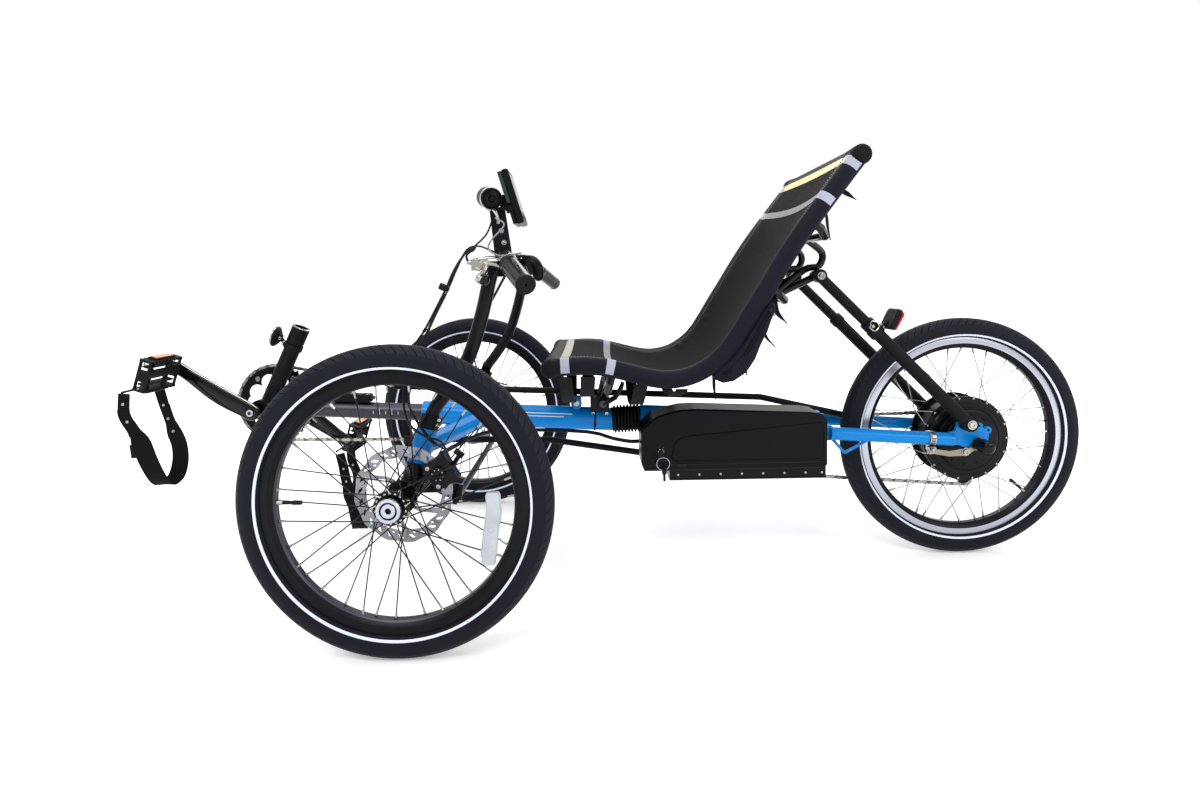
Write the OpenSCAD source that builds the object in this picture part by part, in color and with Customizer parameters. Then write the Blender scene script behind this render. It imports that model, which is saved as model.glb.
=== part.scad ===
/* [Overall] */
// Distance from the front axle to the rear axle
wheelbase = 1085; // [905:5:1302]
// Distance between the middle planes of the two front tyres
track = 750; // [650:5:900]

/* [Wheels] */
// Radius of a wheel over the tyre
wheel_r = 250; // [215:1:300]
// Width of a tyre
tyre_w = 47; // [40:1:56]
// Thickness of the tyre's wall
tyre_wall = 4.5; // [3:0.5:6]
// Width of a rim over its two side walls
rim_w = 25; // [22:1:30]
// Height of a rim from its bed to its lip
rim_h = 22; // [18:1:28]
// Spokes in a wheel, half of them on each flange
spoke_count = 36; // [28, 32, 36]
// Thickness of a spoke
spoke_d = 2; // [1.8:0.1:2.6]
// Radius of a brake rotor
rotor_r = 80; // [70:1:90]
// Radius of the rear hub motor over its spoke flanges
motor_r = 88; // [70:1:100]
// Half the width over the rear hub motor's two spoke flanges
motor_half_w = 27; // [24:1:30]

/* [Steering] */
// Lean of a kingpin towards the middle of the trike
kingpin_lean = 14.8; // [10:0.2:18]
// Lean of a kingpin towards the rear
caster = 16; // [8:0.5:18]
// How far the kingpin passes behind the axle
kingpin_back = 3; // [0:1:12]
// Length of a head tube
head_len = 58; // [50:1:70]
// Radius of a kingpin
kingpin_r = 12.7; // [10:0.1:14]
// Wall of a head tube
head_wall = 5; // [3:0.5:7]
// Radius of the stub axle of a front wheel
stub_r = 10; // [7.5:0.5:10]
// Radius of a handlebar tube
bar_r = 12; // [11:0.5:12.5]
// Length of a hand grip
grip_len = 96; // [80:1:120]
// Radius of a hand grip
grip_r = 16; // [15:0.5:18]
// Radius of the tie rod
tie_r = 6; // [5:0.5:7]

/* [Frame] */
// Radius of the main tube
main_r = 24; // [22:0.5:28]
// Wall of the main tube
main_wall = 2.5; // [2:0.5:3]
// Radius of the telescoping boom
boom_r = 17.5; // [15:0.5:20]
// How far the bottom bracket lies ahead of the front axle
boom_reach = 381; // [310:1:450]
// Radius of the cross member's arms
arm_r = 16; // [14:0.5:19]
// Radius of the rear stays
stay_r = 13; // [10:0.5:14]
// Distance from the middle plane to the inside of a rear dropout
dropout_in = 67.5; // [65:0.5:70]

/* [Drive] */
// Length of a crank arm between its two centres
crank_len = 170; // [140:1:175]
// Angle of the left crank above straight ahead
crank_angle = 33; // [0:1:90]
// Radius of the chainring over its teeth
ring_r = 85; // [70:1:95]
// Distance from the middle plane to the chain
chain_y = 45; // [43:0.5:48]
// Radius of a chain guide tube
guide_r = 7; // [6:0.5:8]
// Radius of the bore of a chain guide tube
guide_bore_r = 5; // [4.8:0.1:5.4]

/* [Seat] */
// Distance between the centres of the two seat rails
seat_w = 400; // [360:5:440]
// Radius of a seat rail
rail_r = 13; // [11:0.5:14]
// How far the sling dips between the rails
seat_sag = 30; // [10:1:45]
// Thickness of the sling
sling_t = 3; // [2:0.5:4]

/* [Battery] */
// Length of the battery
battery_l = 365; // [300:1:400]
// Height of the battery
battery_h = 116; // [90:1:120]
// Width of the battery
battery_w = 80; // [70:1:90]

/* [Fits] */
// Gap between a turning bore and its pin, on the radius
run_gap = 0.05; // [0.03:0.01:0.1]
// Gap between two faces that turn on each other
face_gap = 0.5; // [0.3:0.1:1]
// Gap between a soft piece and what it touches
soft_gap = 0.3; // [0.2:0.1:0.5]

/* [Hidden] */
$fn = 48;

blue = "#1477c8";
black = "#1c1c1f";
graphite = "#45454d";
silver = "#b9bcc0";
steel = "#8b8c8e";
navy = "#23242f";
rubber = "#202126";

// The trike is drawn around the middle of the front axle, with +X to the rear and +Y to the rider's
// right. The origin moves to the floor under the middle of its length.
pedal_reach = 36;
front_x = -(wheelbase + wheel_r - boom_reach - crank_len * cos(crank_angle) - pedal_reach) / 2;

rim_r = wheel_r - tyre_w + 6;
rim_bed_r = rim_r - rim_h;

// Kingpin: a point level with the axle and the unit vector up along it
kp_dir_raw = [tan(caster), tan(kingpin_lean), 1];
kp_dir = kp_dir_raw / norm(kp_dir_raw);
kp_y = track / 2 - wheel_r * tan(kingpin_lean);
kp_point = [kingpin_back, -kp_y, 0];
head_low = 45;
head_high = head_low + head_len;
head_r = kingpin_r + run_gap + head_wall;

// Main tube, boom and bottom bracket
main_front = [-48, 0, 70.6];
main_rear = [354, 0, 48.5];
main_slope = (main_rear[2] - main_front[2]) / (main_rear[0] - main_front[0]);
bb = on_main(-boom_reach);
bb_half = 34;
spindle_r = 8.5;
arm_in = 58;
arm_t = 15;
pedal_pin_r = 4.5;
pedal_in = arm_in + arm_t + 10;
pedal_w = 96;
pedal_lean = 72;

// Rear end
yoke_x = wheelbase - wheel_r - 48;
yoke = [yoke_x, 0, 32];
swing_front = [410, 0, 51];
swing_r = 27;
stay_y = dropout_in + 7;
drop_t = 6;
stay_front = [yoke_x, -stay_y, 27];
stay_end = [wheelbase - 52, -stay_y, 10];
strut_y = stay_y + 12;
strut_bolt = [wheelbase - 27, -strut_y, 44];
rear_axle_r = 6;

// Seat
seat_path = spline([
    [236, 0, 186], [326, 0, 186], [453, 0, 160], [543, 0, 198],
    [616, 0, 302], [688, 0, 416], [794, 0, 555]
], 5);
strut_top = [761, -strut_y, 343];

// Battery
battery_end = yoke_x - 17;
battery_in = 32;
battery_z = -34;

function add(a, b) = [for (i = [0:2]) a[i] + b[i]];
function on_main(x) = [x, 0, main_front[2] + (x - main_front[0]) * main_slope];
function flip(p) = [p[0], -p[1], p[2]];
function along(a, b, t) = a + (b - a) * t;
function kp(t) = kp_point + kp_dir * t;

// A smooth curve through the points, with n steps from each to the next
function spline(p, n) = concat(
    [for (i = [0:len(p) - 2], k = [0:n - 1])
        let (
            a = i == 0 ? 2 * p[0] - p[1] : p[i - 1],
            b = p[i],
            c = p[i + 1],
            d = i == len(p) - 2 ? 2 * p[i + 1] - p[i] : p[i + 2],
            t = k / n
        )
        0.5 * (2 * b + (c - a) * t + (2 * a - 5 * b + 4 * c - d) * t * t
            + (3 * b - a - 3 * c + d) * t * t * t)],
    [p[len(p) - 1]]
);

function unit(v) = v / norm(v);
function heading(p, i) = unit(p[min(i + 1, len(p) - 1)] - p[max(i - 1, 0)]);

// A round solid swept along a curve. "up" is any direction that the curve never follows.
module sweep(p, r, up = [0, 1, 0], sides = 12) {
    n = len(p);
    points = [for (i = [0:n - 1])
        let (t = heading(p, i), u = unit(cross(up, t)), v = cross(t, u))
        for (k = [0:sides - 1]) p[i] + r * (cos(360 * k / sides) * u + sin(360 * k / sides) * v)];
    faces = concat(
        [[for (k = [0:sides - 1]) k]],
        [[for (k = [0:sides - 1]) n * sides - 1 - k]],
        [for (i = [0:n - 2], k = [0:sides - 1])
            let (a = i * sides + k, b = i * sides + (k + 1) % sides)
            [a, a + sides, b + sides, b]]
    );
    polyhedron(points, faces, convexity = 6);
}

// Turns +Z onto the line from a to b, at a
module aim(a, b) {
    d = b - a;
    translate(a)
        rotate([0, acos(d[2] / norm(d)), atan2(d[1], d[0])])
            children();
}

module rod(a, b, r) {
    aim(a, b) cylinder(h = norm(b - a), r = r);
}

module ring(h, ro, ri) {
    difference() {
        cylinder(h = h, r = ro);
        translate([0, 0, -1]) cylinder(h = h + 2, r = ri);
    }
}

// Places the axle frame on the floor frame
module trike() {
    translate([front_x, 0, wheel_r]) children();
}

module mirrored() {
    mirror([0, 1, 0]) children();
}

// Local +Z of a wheel points outwards on a front wheel and to the drive side on the rear wheel
module left_wheel_frame() {
    trike() translate([0, -track / 2, 0]) rotate([90, 0, 0]) children();
}

module right_wheel_frame() {
    trike() translate([0, track / 2, 0]) rotate([-90, 0, 0]) children();
}

module rear_wheel_frame() {
    trike() translate([wheelbase, 0, 0]) rotate([-90, 0, 0]) children();
}

// ---- Wheels ----

module tyre_solid() {
    tube_r = tyre_w / 2;
    color(rubber)
        rotate_extrude($fn = 96)
            difference() {
                translate([wheel_r - tube_r, 0]) circle(r = tube_r);
                translate([wheel_r - tube_r, 0]) circle(r = tube_r - tyre_wall);
                translate([0, -tyre_w]) square([rim_r + soft_gap, 2 * tyre_w]);
            }
}

module rim_solid(tint) {
    half = rim_w / 2;
    color(tint)
        rotate_extrude($fn = 96)
            polygon([
                [rim_bed_r, -half * 0.5], [rim_bed_r, half * 0.5], [rim_bed_r + 6, half],
                [rim_r, half], [rim_r, half - 2], [rim_r - 9, half - 2.5],
                [rim_r - 13, half * 0.5], [rim_r - 13, -half * 0.5], [rim_r - 9, -half + 2.5],
                [rim_r, -half + 2], [rim_r, -half], [rim_bed_r + 6, -half]
            ]);
}

// Spokes leave each flange in crossing pairs. The two of a pair stay apart on the way out.
module spokes_solid(flange_r, flange_w, lace) {
    per_side = spoke_count / 2;
    apart = spoke_d * 0.8;
    color(silver)
        for (side = [-1, 1], k = [0:per_side - 1]) {
            turn = k % 2 == 0 ? 1 : -1;
            start = 360 / per_side * (k + (side + 1) / 4);
            end = start + turn * lace;
            a = [flange_r * cos(start), flange_r * sin(start), side * (flange_w + turn * apart)];
            b = [
                (rim_bed_r - 0.4) * cos(end), (rim_bed_r - 0.4) * sin(end),
                side * (2.6 + turn * apart * 0.75)
            ];
            rod(a, b, spoke_d / 2);
        }
}

hub_flange_r = 27;
hub_flange_w = 27;
hub_in = 36;
hub_out = 34;
rotor_w = 45;

module hub_solid() {
    color(black)
        difference() {
            union() {
                translate([0, 0, -hub_in]) cylinder(h = hub_in + hub_out, r = 17);
                for (w = [-hub_flange_w, hub_flange_w])
                    translate([0, 0, w - 2]) cylinder(h = 4, r = hub_flange_r);
                translate([0, 0, -rotor_w + 2]) cylinder(h = rotor_w - 2 - hub_flange_w, r = 22);
                translate([0, 0, hub_out - 1]) cylinder(h = 5, r = 19);
            }
            translate([0, 0, -rotor_w - 1]) cylinder(h = rotor_w + hub_out, r = stub_r + run_gap);
            translate([0, 0, hub_out - 2]) cylinder(h = 3, r = 13);
        }
}

module rotor_solid() {
    arms = 6;
    color(silver)
        translate([0, 0, -rotor_w])
            difference() {
                cylinder(h = 2, r = rotor_r, $fn = 96);
                translate([0, 0, -1]) cylinder(h = 4, r = stub_r + 5);
                for (k = [0:arms - 1])
                    rotate(360 / arms * k)
                        translate([0, 0, -1])
                            linear_extrude(4)
                                intersection() {
                                    difference() {
                                        circle(r = rotor_r - 15, $fn = 96);
                                        circle(r = 26);
                                    }
                                    polygon([[0, 0], [90, 12], [90, 60]]);
                                }
                slots = 18;
                for (k = [0:slots - 1])
                    rotate(360 / slots * k)
                        translate([rotor_r - 7.5, 0, -1]) cylinder(h = 4, r = 3);
            }
}

// Rear motor: drum between two spoke flanges, with a raised cover on each side
module motor_solid() {
    color(black)
        difference() {
            union() {
                translate([0, 0, -motor_half_w]) cylinder(h = 2 * motor_half_w, r = motor_r - 8, $fn = 96);
                for (w = [-motor_half_w, motor_half_w])
                    translate([0, 0, w - 2]) cylinder(h = 4, r = motor_r, $fn = 96);
                translate([0, 0, -motor_half_w - 10]) cylinder(h = 12, r = motor_r - 26, $fn = 72);
                translate([0, 0, -dropout_in + 6]) cylinder(h = dropout_in - motor_half_w - 6, r = 22);
                translate([0, 0, motor_half_w]) cylinder(h = 5, r = 30);
            }
            translate([0, 0, -dropout_in]) cylinder(h = 2 * dropout_in, r = rear_axle_r + run_gap);
        }
}

sprocket_sizes = [46, 42, 38, 34, 30, 26];

module sprockets_solid() {
    color(silver)
        difference() {
            union() {
                translate([0, 0, motor_half_w + 5.1]) cylinder(h = 30, r = 18);
                for (k = [0:len(sprocket_sizes) - 1])
                    translate([0, 0, chain_y - 0.9 + (k - 2) * sprocket_pitch])
                        cylinder(h = 1.8, r = sprocket_sizes[k], $fn = 72);
            }
            cylinder(h = dropout_in, r = rear_axle_r + run_gap);
        }
}

// ---- Main frame ----

module main_tube() {
    trike() color(blue) {
        difference() {
            union() {
                rod(main_front, main_rear, main_r);
                rod(barrel_at - [0, barrel_half, 0], barrel_at + [0, barrel_half, 0], barrel_r);
                // Clamp boss under the front end
                rod(clamp_at - [0, 15, 0], clamp_at + [0, 15, 0], 7);
            }
            rod(on_main(main_front[0] - 5), on_main(boom_tail + 10), boom_r);
            rod(on_main(boom_tail + 9), on_main(main_rear[0] + 5), main_r - main_wall);
            rod(barrel_at - [0, 60, 0], barrel_at + [0, 60, 0], barrel_bore_r);
            rod(clamp_at - [0, 16, 0], clamp_at + [0, 16, 0], 3);
        }
    }
}

// The drilled barrel on top of the main tube and the clamp boss below its front end
barrel_x = 277;
barrel_at = on_main(barrel_x) + [0, 0, main_r + 9.5];
clamp_at = on_main(4) - [0, 0, main_r + 4];
boom_tail = 130;
barrel_half = 20;
barrel_r = 11.5;
barrel_bore_r = 7;

arm_root = on_main(98);

// Two arms from the main tube out to the head tubes
module cross_member() {
    trike() color(blue)
        difference() {
            union() {
                for (side = [0, 1]) mirror([0, side, 0]) {
                    rod(arm_root, kp(head_low + head_len * 0.5), arm_r);
                    rod(kp(head_low), kp(head_high), head_r);
                }
            }
            for (side = [0, 1]) mirror([0, side, 0])
                rod(kp(head_low - 5), kp(head_high + 5), kingpin_r + run_gap);
            // The saddle that seats on the main tube
            rod(on_main(main_front[0]), on_main(main_rear[0]), main_r + 0.02);
        }
}

module boom() {
    trike() color(graphite)
        difference() {
            union() {
                rod(bb, on_main(boom_tail), boom_r - 0.05);
                rod(bb - [0, bb_half, 0], bb + [0, bb_half, 0], 20);
            }
            rod(bb - [0, 60, 0], bb + [0, 60, 0], spindle_r + run_gap);
        }
}

post_lean = 25.8;
post_len = 186;
post_r = 16.5;
post_bore_r = 14.3;
post_dir = [sin(post_lean), 0, cos(post_lean)];
bb_r = 20;

// Post for a light or a mirror, on top of the bottom bracket
module accessory_post() {
    trike() color(black)
        difference() {
            union() {
                rod(bb + 8 * post_dir, bb + post_len * post_dir, post_r);
                rod(bb + (post_len - 34) * post_dir, bb + post_len * post_dir, post_r + 1.5);
            }
            rod(bb + (post_len - 45) * post_dir, bb + (post_len + 5) * post_dir, post_bore_r);
            rod(bb - [0, 60, 0], bb + [0, 60, 0], bb_r + 0.02);
            rod(bb, on_main(0), boom_r + 0.02);
        }
}

module front_reflector() {
    band = bb + 141 * post_dir;
    disc = bb + [26, 0, 149];
    facing = [-cos(12), 0, sin(12)];
    trike() color("#d8dde2") {
        difference() {
            union() {
                rod(disc - 4 * facing, disc + 4 * facing, 22);
                rod(disc - 14 * facing, disc, 10);
                rod(disc - 10 * facing, band, 4);
            }
            rod(bb, bb + post_len * post_dir, post_r + 2);
        }
        aim(band - 6 * post_dir, bb + post_len * post_dir) ring(12, post_r + 3, post_r + run_gap);
    }
}

module controller_box() {
    trike() color(black)
        translate(on_main(-198))
            rotate([0, -atan(main_slope), 0])
                translate([-38, -13, boom_r]) cube([76, 26, 17]);
}

// ---- Rear end ----

module dropout_outline(hanger) {
    difference() {
        union() {
            circle(r = 15);
            polygon([
                [-66, -2], [-66, 20], [-46, 27], [-38, 50], [-30, 54], [-17, 51], [-4, 40],
                [8, 34], [22, 20], [18, -8], [-8, -14], [-40, -2]
            ]);
            translate([2, 36]) circle(r = 7);
            translate([20, 27]) circle(r = 7);
            if (hanger) translate([8, -24]) circle(r = 8);
            if (hanger) polygon([[-2, -8], [0, -24], [16, -24], [16, -8]]);
        }
        circle(r = rear_axle_r + run_gap);
        translate([2, 36]) circle(r = eyelet_r);
        translate([20, 27]) circle(r = eyelet_r);
        translate([strut_bolt[0] - wheelbase, strut_bolt[2]]) circle(r = strut_pin_r + run_gap);
    }
}

eyelet_r = 2.6;
strut_pin_r = 4;

module rear_frame() {
    trike() color(blue) {
        rod(swing_front, yoke, swing_r);
        rod(stay_front, flip(stay_front), 15);
        for (side = [0, 1]) mirror([0, side, 0]) {
            rod(stay_front, stay_end, stay_r);
            translate([wheelbase, -dropout_in, 0])
                rotate([90, 0, 0]) linear_extrude(drop_t) dropout_outline(side == 1);
        }
        // Bent wire guide below the left stay
        rod([yoke_x, -stay_y + 6, 22], [yoke_x + 32, -stay_y + 6, -15], 3);
        rod([yoke_x + 32, -stay_y + 6, -15], [yoke_x + 82, -stay_y + 3, 14], 3);
    }
}

// Ribbed rubber element between the main tube and the swinging rear end
module suspension_bellows() {
    a = main_rear;
    b = swing_front;
    ribs = 8;
    pitch = norm(b - a) / ribs;
    trike() color(rubber)
        difference() {
            aim(a, b) {
                translate([0, 0, -3]) cylinder(h = norm(b - a) + 6, r = 25);
                for (k = [0:ribs - 1])
                    translate([0, 0, pitch * (k + 0.2)]) cylinder(h = pitch * 0.6, r = 30);
            }
            rod(on_main(300), main_rear, 40);
            rod(swing_front, yoke, 40);
        }
}

module rear_axle() {
    left_out = stay_y + 1 + 4.1;
    right_out = dropout_in + drop_t + 0.1;
    trike() translate([wheelbase, 0, 0]) rotate([90, 0, 0]) color(steel) {
        translate([0, 0, -right_out - 12]) cylinder(h = right_out + left_out + 14, r = rear_axle_r);
        translate([0, 0, left_out]) cylinder(h = 8, r = 10, $fn = 6);
        translate([0, 0, left_out + 8]) cylinder(h = 18, r = 11);
        translate([0, 0, -right_out - 8]) cylinder(h = 8, r = 10, $fn = 6);
        translate([0, 0, -right_out - 20]) cylinder(h = 12, r = 11);
    }
}

// Arm that stops the motor's axle from turning, held to the left stay by a band
module torque_arm() {
    band_x = wheelbase - 97;
    t = (band_x - stay_front[0]) / (stay_end[0] - stay_front[0]);
    band = along(stay_front, stay_end, t);
    out = dropout_in + drop_t;
    trike() color(steel) {
        translate([wheelbase, -out - 0.1, 0]) rotate([90, 0, 0])
            linear_extrude(4)
                difference() {
                    union() {
                        circle(r = 13);
                        translate([-27, -15]) circle(r = 8);
                        polygon([[-8, 10], [-20, -8], [-34, -17], [-24, -23], [-6, -10], [8, -9]]);
                        polygon([[-27, -23], [-60, -24], [-97, -17], [-97, -7], [-60, -13], [-27, -8]]);
                        translate([-97, -12]) circle(r = 6);
                    }
                    circle(r = rear_axle_r + run_gap);
                }
        difference() {
            union() {
                aim(along(stay_front, stay_end, t - 0.02), stay_end) ring(10, stay_r + 2, stay_r + run_gap);
                translate([band[0] - 5, -out - 4.1, -14]) cube([10, 4, 12]);
            }
            rod(stay_front, stay_end, stay_r + run_gap);
        }
    }
}

// ---- Battery ----

module battery() {
    l = battery_l;
    h = battery_h;
    trike() color(black) {
        translate([battery_end - l, -battery_in, battery_z])
            rotate([90, 0, 0])
                linear_extrude(battery_w)
                    polygon([
                        [6, 0], [0, 14], [0, h - 40], [22, h - 14], [80, h + 6],
                        [l - 34, h - 4], [l - 10, h - 8], [l, h - 22], [l, 8], [l - 6, 0]
                    ]);
        // Key barrel near the front
        translate([battery_end - l + 48, -battery_in - battery_w, 8 - battery_z - 26])
            rotate([90, 0, 0]) cylinder(h = 6, r = 7);
    }
}

module battery_rail() {
    x0 = battery_end - battery_l + 56;
    rail_l = battery_l - 56;
    top = battery_z - 0.1;
    hang = 8;
    trike() color(black) {
        translate([x0, -battery_in - battery_w + 12, top - 22]) cube([rail_l, 56, 22]);
        difference() {
            for (x = [x0 + 40, x0 + rail_l - 60])
                translate([x, 0, 0]) {
                    translate([0, -battery_in - 14, top - 22]) cube([30, battery_in + 14 + hang, 5]);
                    translate([0, -hang, top - 22]) cube([30, 2 * hang, 92]);
                }
            rod(swing_front, yoke, swing_r + 0.02);
            translate([0, -100, 42]) cube([2000, 200, 100]);
        }
    }
}

// ---- Seat ----

rail_y = seat_w / 2;
bar_drop = 45;

function seat_at(i) = seat_path[i];
function seat_up(i) = let (t = heading(seat_path, i)) [-t[2], 0, t[0]];
function last(p) = len(p) - 1;

// Bowed bar from rail to rail, below the sling
module cross_bar(i) {
    c = seat_at(i);
    n = seat_up(i);
    low = c - bar_drop * n;
    sweep([
        c + [0, -rail_y, 0], c - 0.55 * bar_drop * n + [0, -rail_y + 4, 0],
        low + [0, -rail_y + 30, 0], low + [0, rail_y - 30, 0],
        c - 0.55 * bar_drop * n + [0, rail_y - 4, 0], c + [0, rail_y, 0]
    ], 8, unit(cross(n, [0, 1, 0])), 12);
}

low_bar = 6;
mid_bar = 21;
high_bar = 26;
hoop_y = 66;
bar_mid = seat_at(mid_bar) - bar_drop * seat_up(mid_bar);
bar_high = seat_at(high_bar) - bar_drop * seat_up(high_bar);
bar_low = seat_at(low_bar) - bar_drop * seat_up(low_bar);
clamp_x = 326;
seat_post_foot = on_main(clamp_x) + [0, 0, main_r + 12];

module seat_frame() {
    trike() color(black)
        difference() {
            union() {
                for (side = [-1, 1])
                    sweep([for (p = seat_path) p + [0, side * rail_y, 0]], rail_r);
                for (i = [0, last(seat_path)])
                    rod(seat_at(i) - [0, rail_y, 0], seat_at(i) + [0, rail_y, 0], rail_r - 1);
                for (i = [low_bar, mid_bar, high_bar]) cross_bar(i);
                for (y = [-hoop_y, hoop_y]) {
                    sweep(spline([
                        bar_high + [0, y, 0], strut_at(12, 46, y), strut_at(6, 20, y),
                        strut_at(-24, 12, y), bar_mid + [0, y, 0]
                    ], 4), 7);
                    rod(bar_mid + [0, y, 0], [strut_top[0], y, strut_top[2]], 7);
                    rod([strut_top[0], y - 8, strut_top[2]], [strut_top[0], y + 8, strut_top[2]], 11);
                }
                rod(seat_post_foot, bar_low, 10);
            }
            rod([strut_top[0], -100, strut_top[2]], [strut_top[0], 100, strut_top[2]], strut_pin_r + run_gap);
        }
}

function strut_at(dx, dz, y) = [strut_top[0] + dx, y, strut_top[2] + dz];

// The sling's section at one place: a sheet that dips between the rails and wraps around them
function sling_line(r, dip) = concat(
    [for (a = [150:-30:0]) [-rail_y - r * sin(a), r * cos(a)]],
    [for (k = [1:9]) let (y = rail_y * (k / 5 - 1)) [y, r - dip * (1 - pow(y / rail_y, 2))]],
    [for (a = [0:30:150]) [rail_y + r * sin(a), r * cos(a)]]
);

module seat_sling() {
    rings = len(seat_path);
    inner = rail_r + 0.6;
    m = len(sling_line(inner, 0));
    points = [for (i = [0:rings - 1])
        let (
            end = min(1, 4 * i / (rings - 1), 4 * (rings - 1 - i) / (rings - 1)),
            skin = sling_line(inner + sling_t, seat_sag * end),
            lining = sling_line(inner, seat_sag * end),
            n = seat_up(i)
        )
        for (q = concat(skin, [for (k = [m - 1:-1:0]) lining[k]]))
            seat_at(i) + [0, q[0], 0] + q[1] * n];
    w = 2 * m;
    faces = concat(
        [for (k = [0:m - 2]) [k, k + 1, w - 2 - k, w - 1 - k]],
        [for (k = [0:m - 2]) let (b = (rings - 1) * w) [b + k + 1, b + k, b + w - 1 - k, b + w - 2 - k]],
        [for (i = [0:rings - 2], k = [0:w - 1])
            let (a = i * w + k, b = i * w + (k + 1) % w)
            [a, a + w, b + w, b]]
    );
    trike() color(navy) polyhedron(points, faces, convexity = 8);
}

// Two telescoping struts with their pivot bolts
module seat_struts() {
    mid = along(strut_top, strut_bolt, 0.31);
    trike() color(black)
        for (side = [0, 1]) mirror([0, side, 0]) {
            difference() {
                union() {
                    rod(strut_top, along(strut_top, strut_bolt, 0.5), 10);
                    rod(strut_top - [0, 9, 0], strut_top + [0, 9, 0], 13);
                    rod(mid, strut_bolt, 12.5);
                    rod(strut_bolt - [0, 10, 0], strut_bolt + [0, 10, 0], 15);
                }
                for (k = [1:4])
                    rod(along(strut_top, strut_bolt, 0.06 * k) - [0, 12, 0],
                        along(strut_top, strut_bolt, 0.06 * k) - [0, 6, 0], 2.5);
            }
            rod([strut_top[0], -strut_y - 13, strut_top[2]], [strut_top[0], -hoop_y + 10, strut_top[2]], strut_pin_r);
            rod(strut_bolt - [0, 14, 0], [strut_bolt[0], -dropout_in + 3, strut_bolt[2]], strut_pin_r);
        }
}

module seat_clamp() {
    c = on_main(clamp_x) + [0, 0, main_r];
    trike() color(black)
        difference() {
            union() {
                translate([clamp_x - 20, -17, c[2] - 16]) cube([40, 34, 40]);
                rod(c + [9, -26, 12], c + [9, 22, 12], 5);
                // Quick-release lever
                rod(c + [7, -29, 11], c + [34, -34, 27], 5);
                rod(c + [32, -34, 26], c + [48, -34, 56], 4);
            }
            rod(on_main(clamp_x - 60), on_main(main_rear[0] + 0.2), main_r + 0.05);
            rod(seat_post_foot, bar_low, 10 + run_gap);
        }
}

// Zipped pouch low on the outside of the seat back
module seat_pouch() {
    first = 14;
    end = 19;
    trike() color(navy)
        for (side = [-1])
            sweep([for (i = [first:end])
                seat_at(i) - (rail_r + sling_t + 11.8) * seat_up(i) + [0, side * (rail_y + 4), 0]], 14);
}

module tail_light() {
    t = 0.375;
    c = along(strut_top, strut_bolt, t);
    trike() color("#a01818") {
        aim(along(strut_top, strut_bolt, t - 0.02), strut_bolt) ring(16, 16, 12.5 + run_gap);
        difference() {
            rod(c, c + [30, 0, 24], 4);
            rod(strut_top, strut_bolt, 13);
        }
        translate(c + [32, 0, 24]) rotate([0, 26, 0])
            translate([-8, -25, -21]) cube([18, 50, 42]);
    }
}

// ---- Drive ----

chain_t = 6;
chain_w = 5.6;
ring_pitch_r = ring_r - 2;
sprocket_pitch = 5;
pulley_r = 17;
guide_pulley = [wheelbase - 2, -65];
tension_pulley = [wheelbase + 38, -103];

function flat(p) = [p[0], p[2]];
function arc(c, r, from, to, n) = [for (k = [0:n])
    let (a = from + (to - from) * k / n) c + r * [cos(a), sin(a)]];

upper_start = [-121, 121];
upper_bend = [677, 82];
upper_end = [862, 38.6];
lower_end = [765, -93];
lower_bend = [215, -4];
lower_start = [-104, 3];

// The chain's middle line, in the plane of the chain
chain_line = concat(
    arc(flat(bb), ring_pitch_r, 79, 268, 26),
    [lower_start, lower_bend, lower_end],
    arc(tension_pulley, pulley_r, -94, 82, 7),
    arc(guide_pulley, pulley_r, 264, 176, 5),
    arc([wheelbase, 0], sprocket_sizes[2] + 3.5, -126, 97, 26),
    [upper_end, upper_bend, upper_start]
);

// The line moved sideways by d
function beside(p, d) = [for (i = [0:len(p) - 1])
    let (
        n = len(p),
        a = p[(i + n - 1) % n],
        b = p[i],
        c = p[(i + 1) % n],
        u = unit(b - a),
        v = unit(c - b),
        w = unit(u + v)
    )
    b + d / max(0.6, w * u) * [-w[1], w[0]]];

module chain() {
    trike() color(steel)
        translate([0, chain_y + chain_w / 2, 0])
            rotate([90, 0, 0])
                linear_extrude(chain_w)
                    difference() {
                        polygon(beside(chain_line, -chain_t / 2));
                        polygon(beside(chain_line, chain_t / 2));
                    }
}

function in_chain_plane(p) = [p[0], chain_y, p[1]];

// A hollow tube along a line in the chain's plane
module guide_tube(q) {
    p = [for (c = q) in_chain_plane(c)];
    n = len(p);
    m = 12;
    w = 2 * m;
    points = [for (i = [0:n - 1])
        let (t = heading(p, i), v = unit(cross(t, [0, 1, 0])))
        for (r = [guide_r, guide_bore_r], k = [0:m - 1])
            p[i] + r * (cos(360 * k / m) * [0, 1, 0] + sin(360 * k / m) * v)];
    faces = concat(
        [for (k = [0:m - 1]) [k, (k + 1) % m, m + (k + 1) % m, m + k]],
        [for (k = [0:m - 1]) let (b = (n - 1) * w) [b + (k + 1) % m, b + k, b + m + k, b + m + (k + 1) % m]],
        [for (i = [0:n - 2], k = [0:m - 1])
            let (a = i * w + k, b = i * w + (k + 1) % m) [a, a + w, b + w, b]],
        [for (i = [0:n - 2], k = [0:m - 1])
            let (a = i * w + m + k, b = i * w + m + (k + 1) % m) [b, b + w, a + w, a]]
    );
    polyhedron(points, faces, convexity = 4);
}

module chain_tubes() {
    trike() color(black) {
        guide_tube([upper_start, upper_bend, upper_end]);
        guide_tube([lower_start, lower_bend, lower_end]);
    }
}

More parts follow.
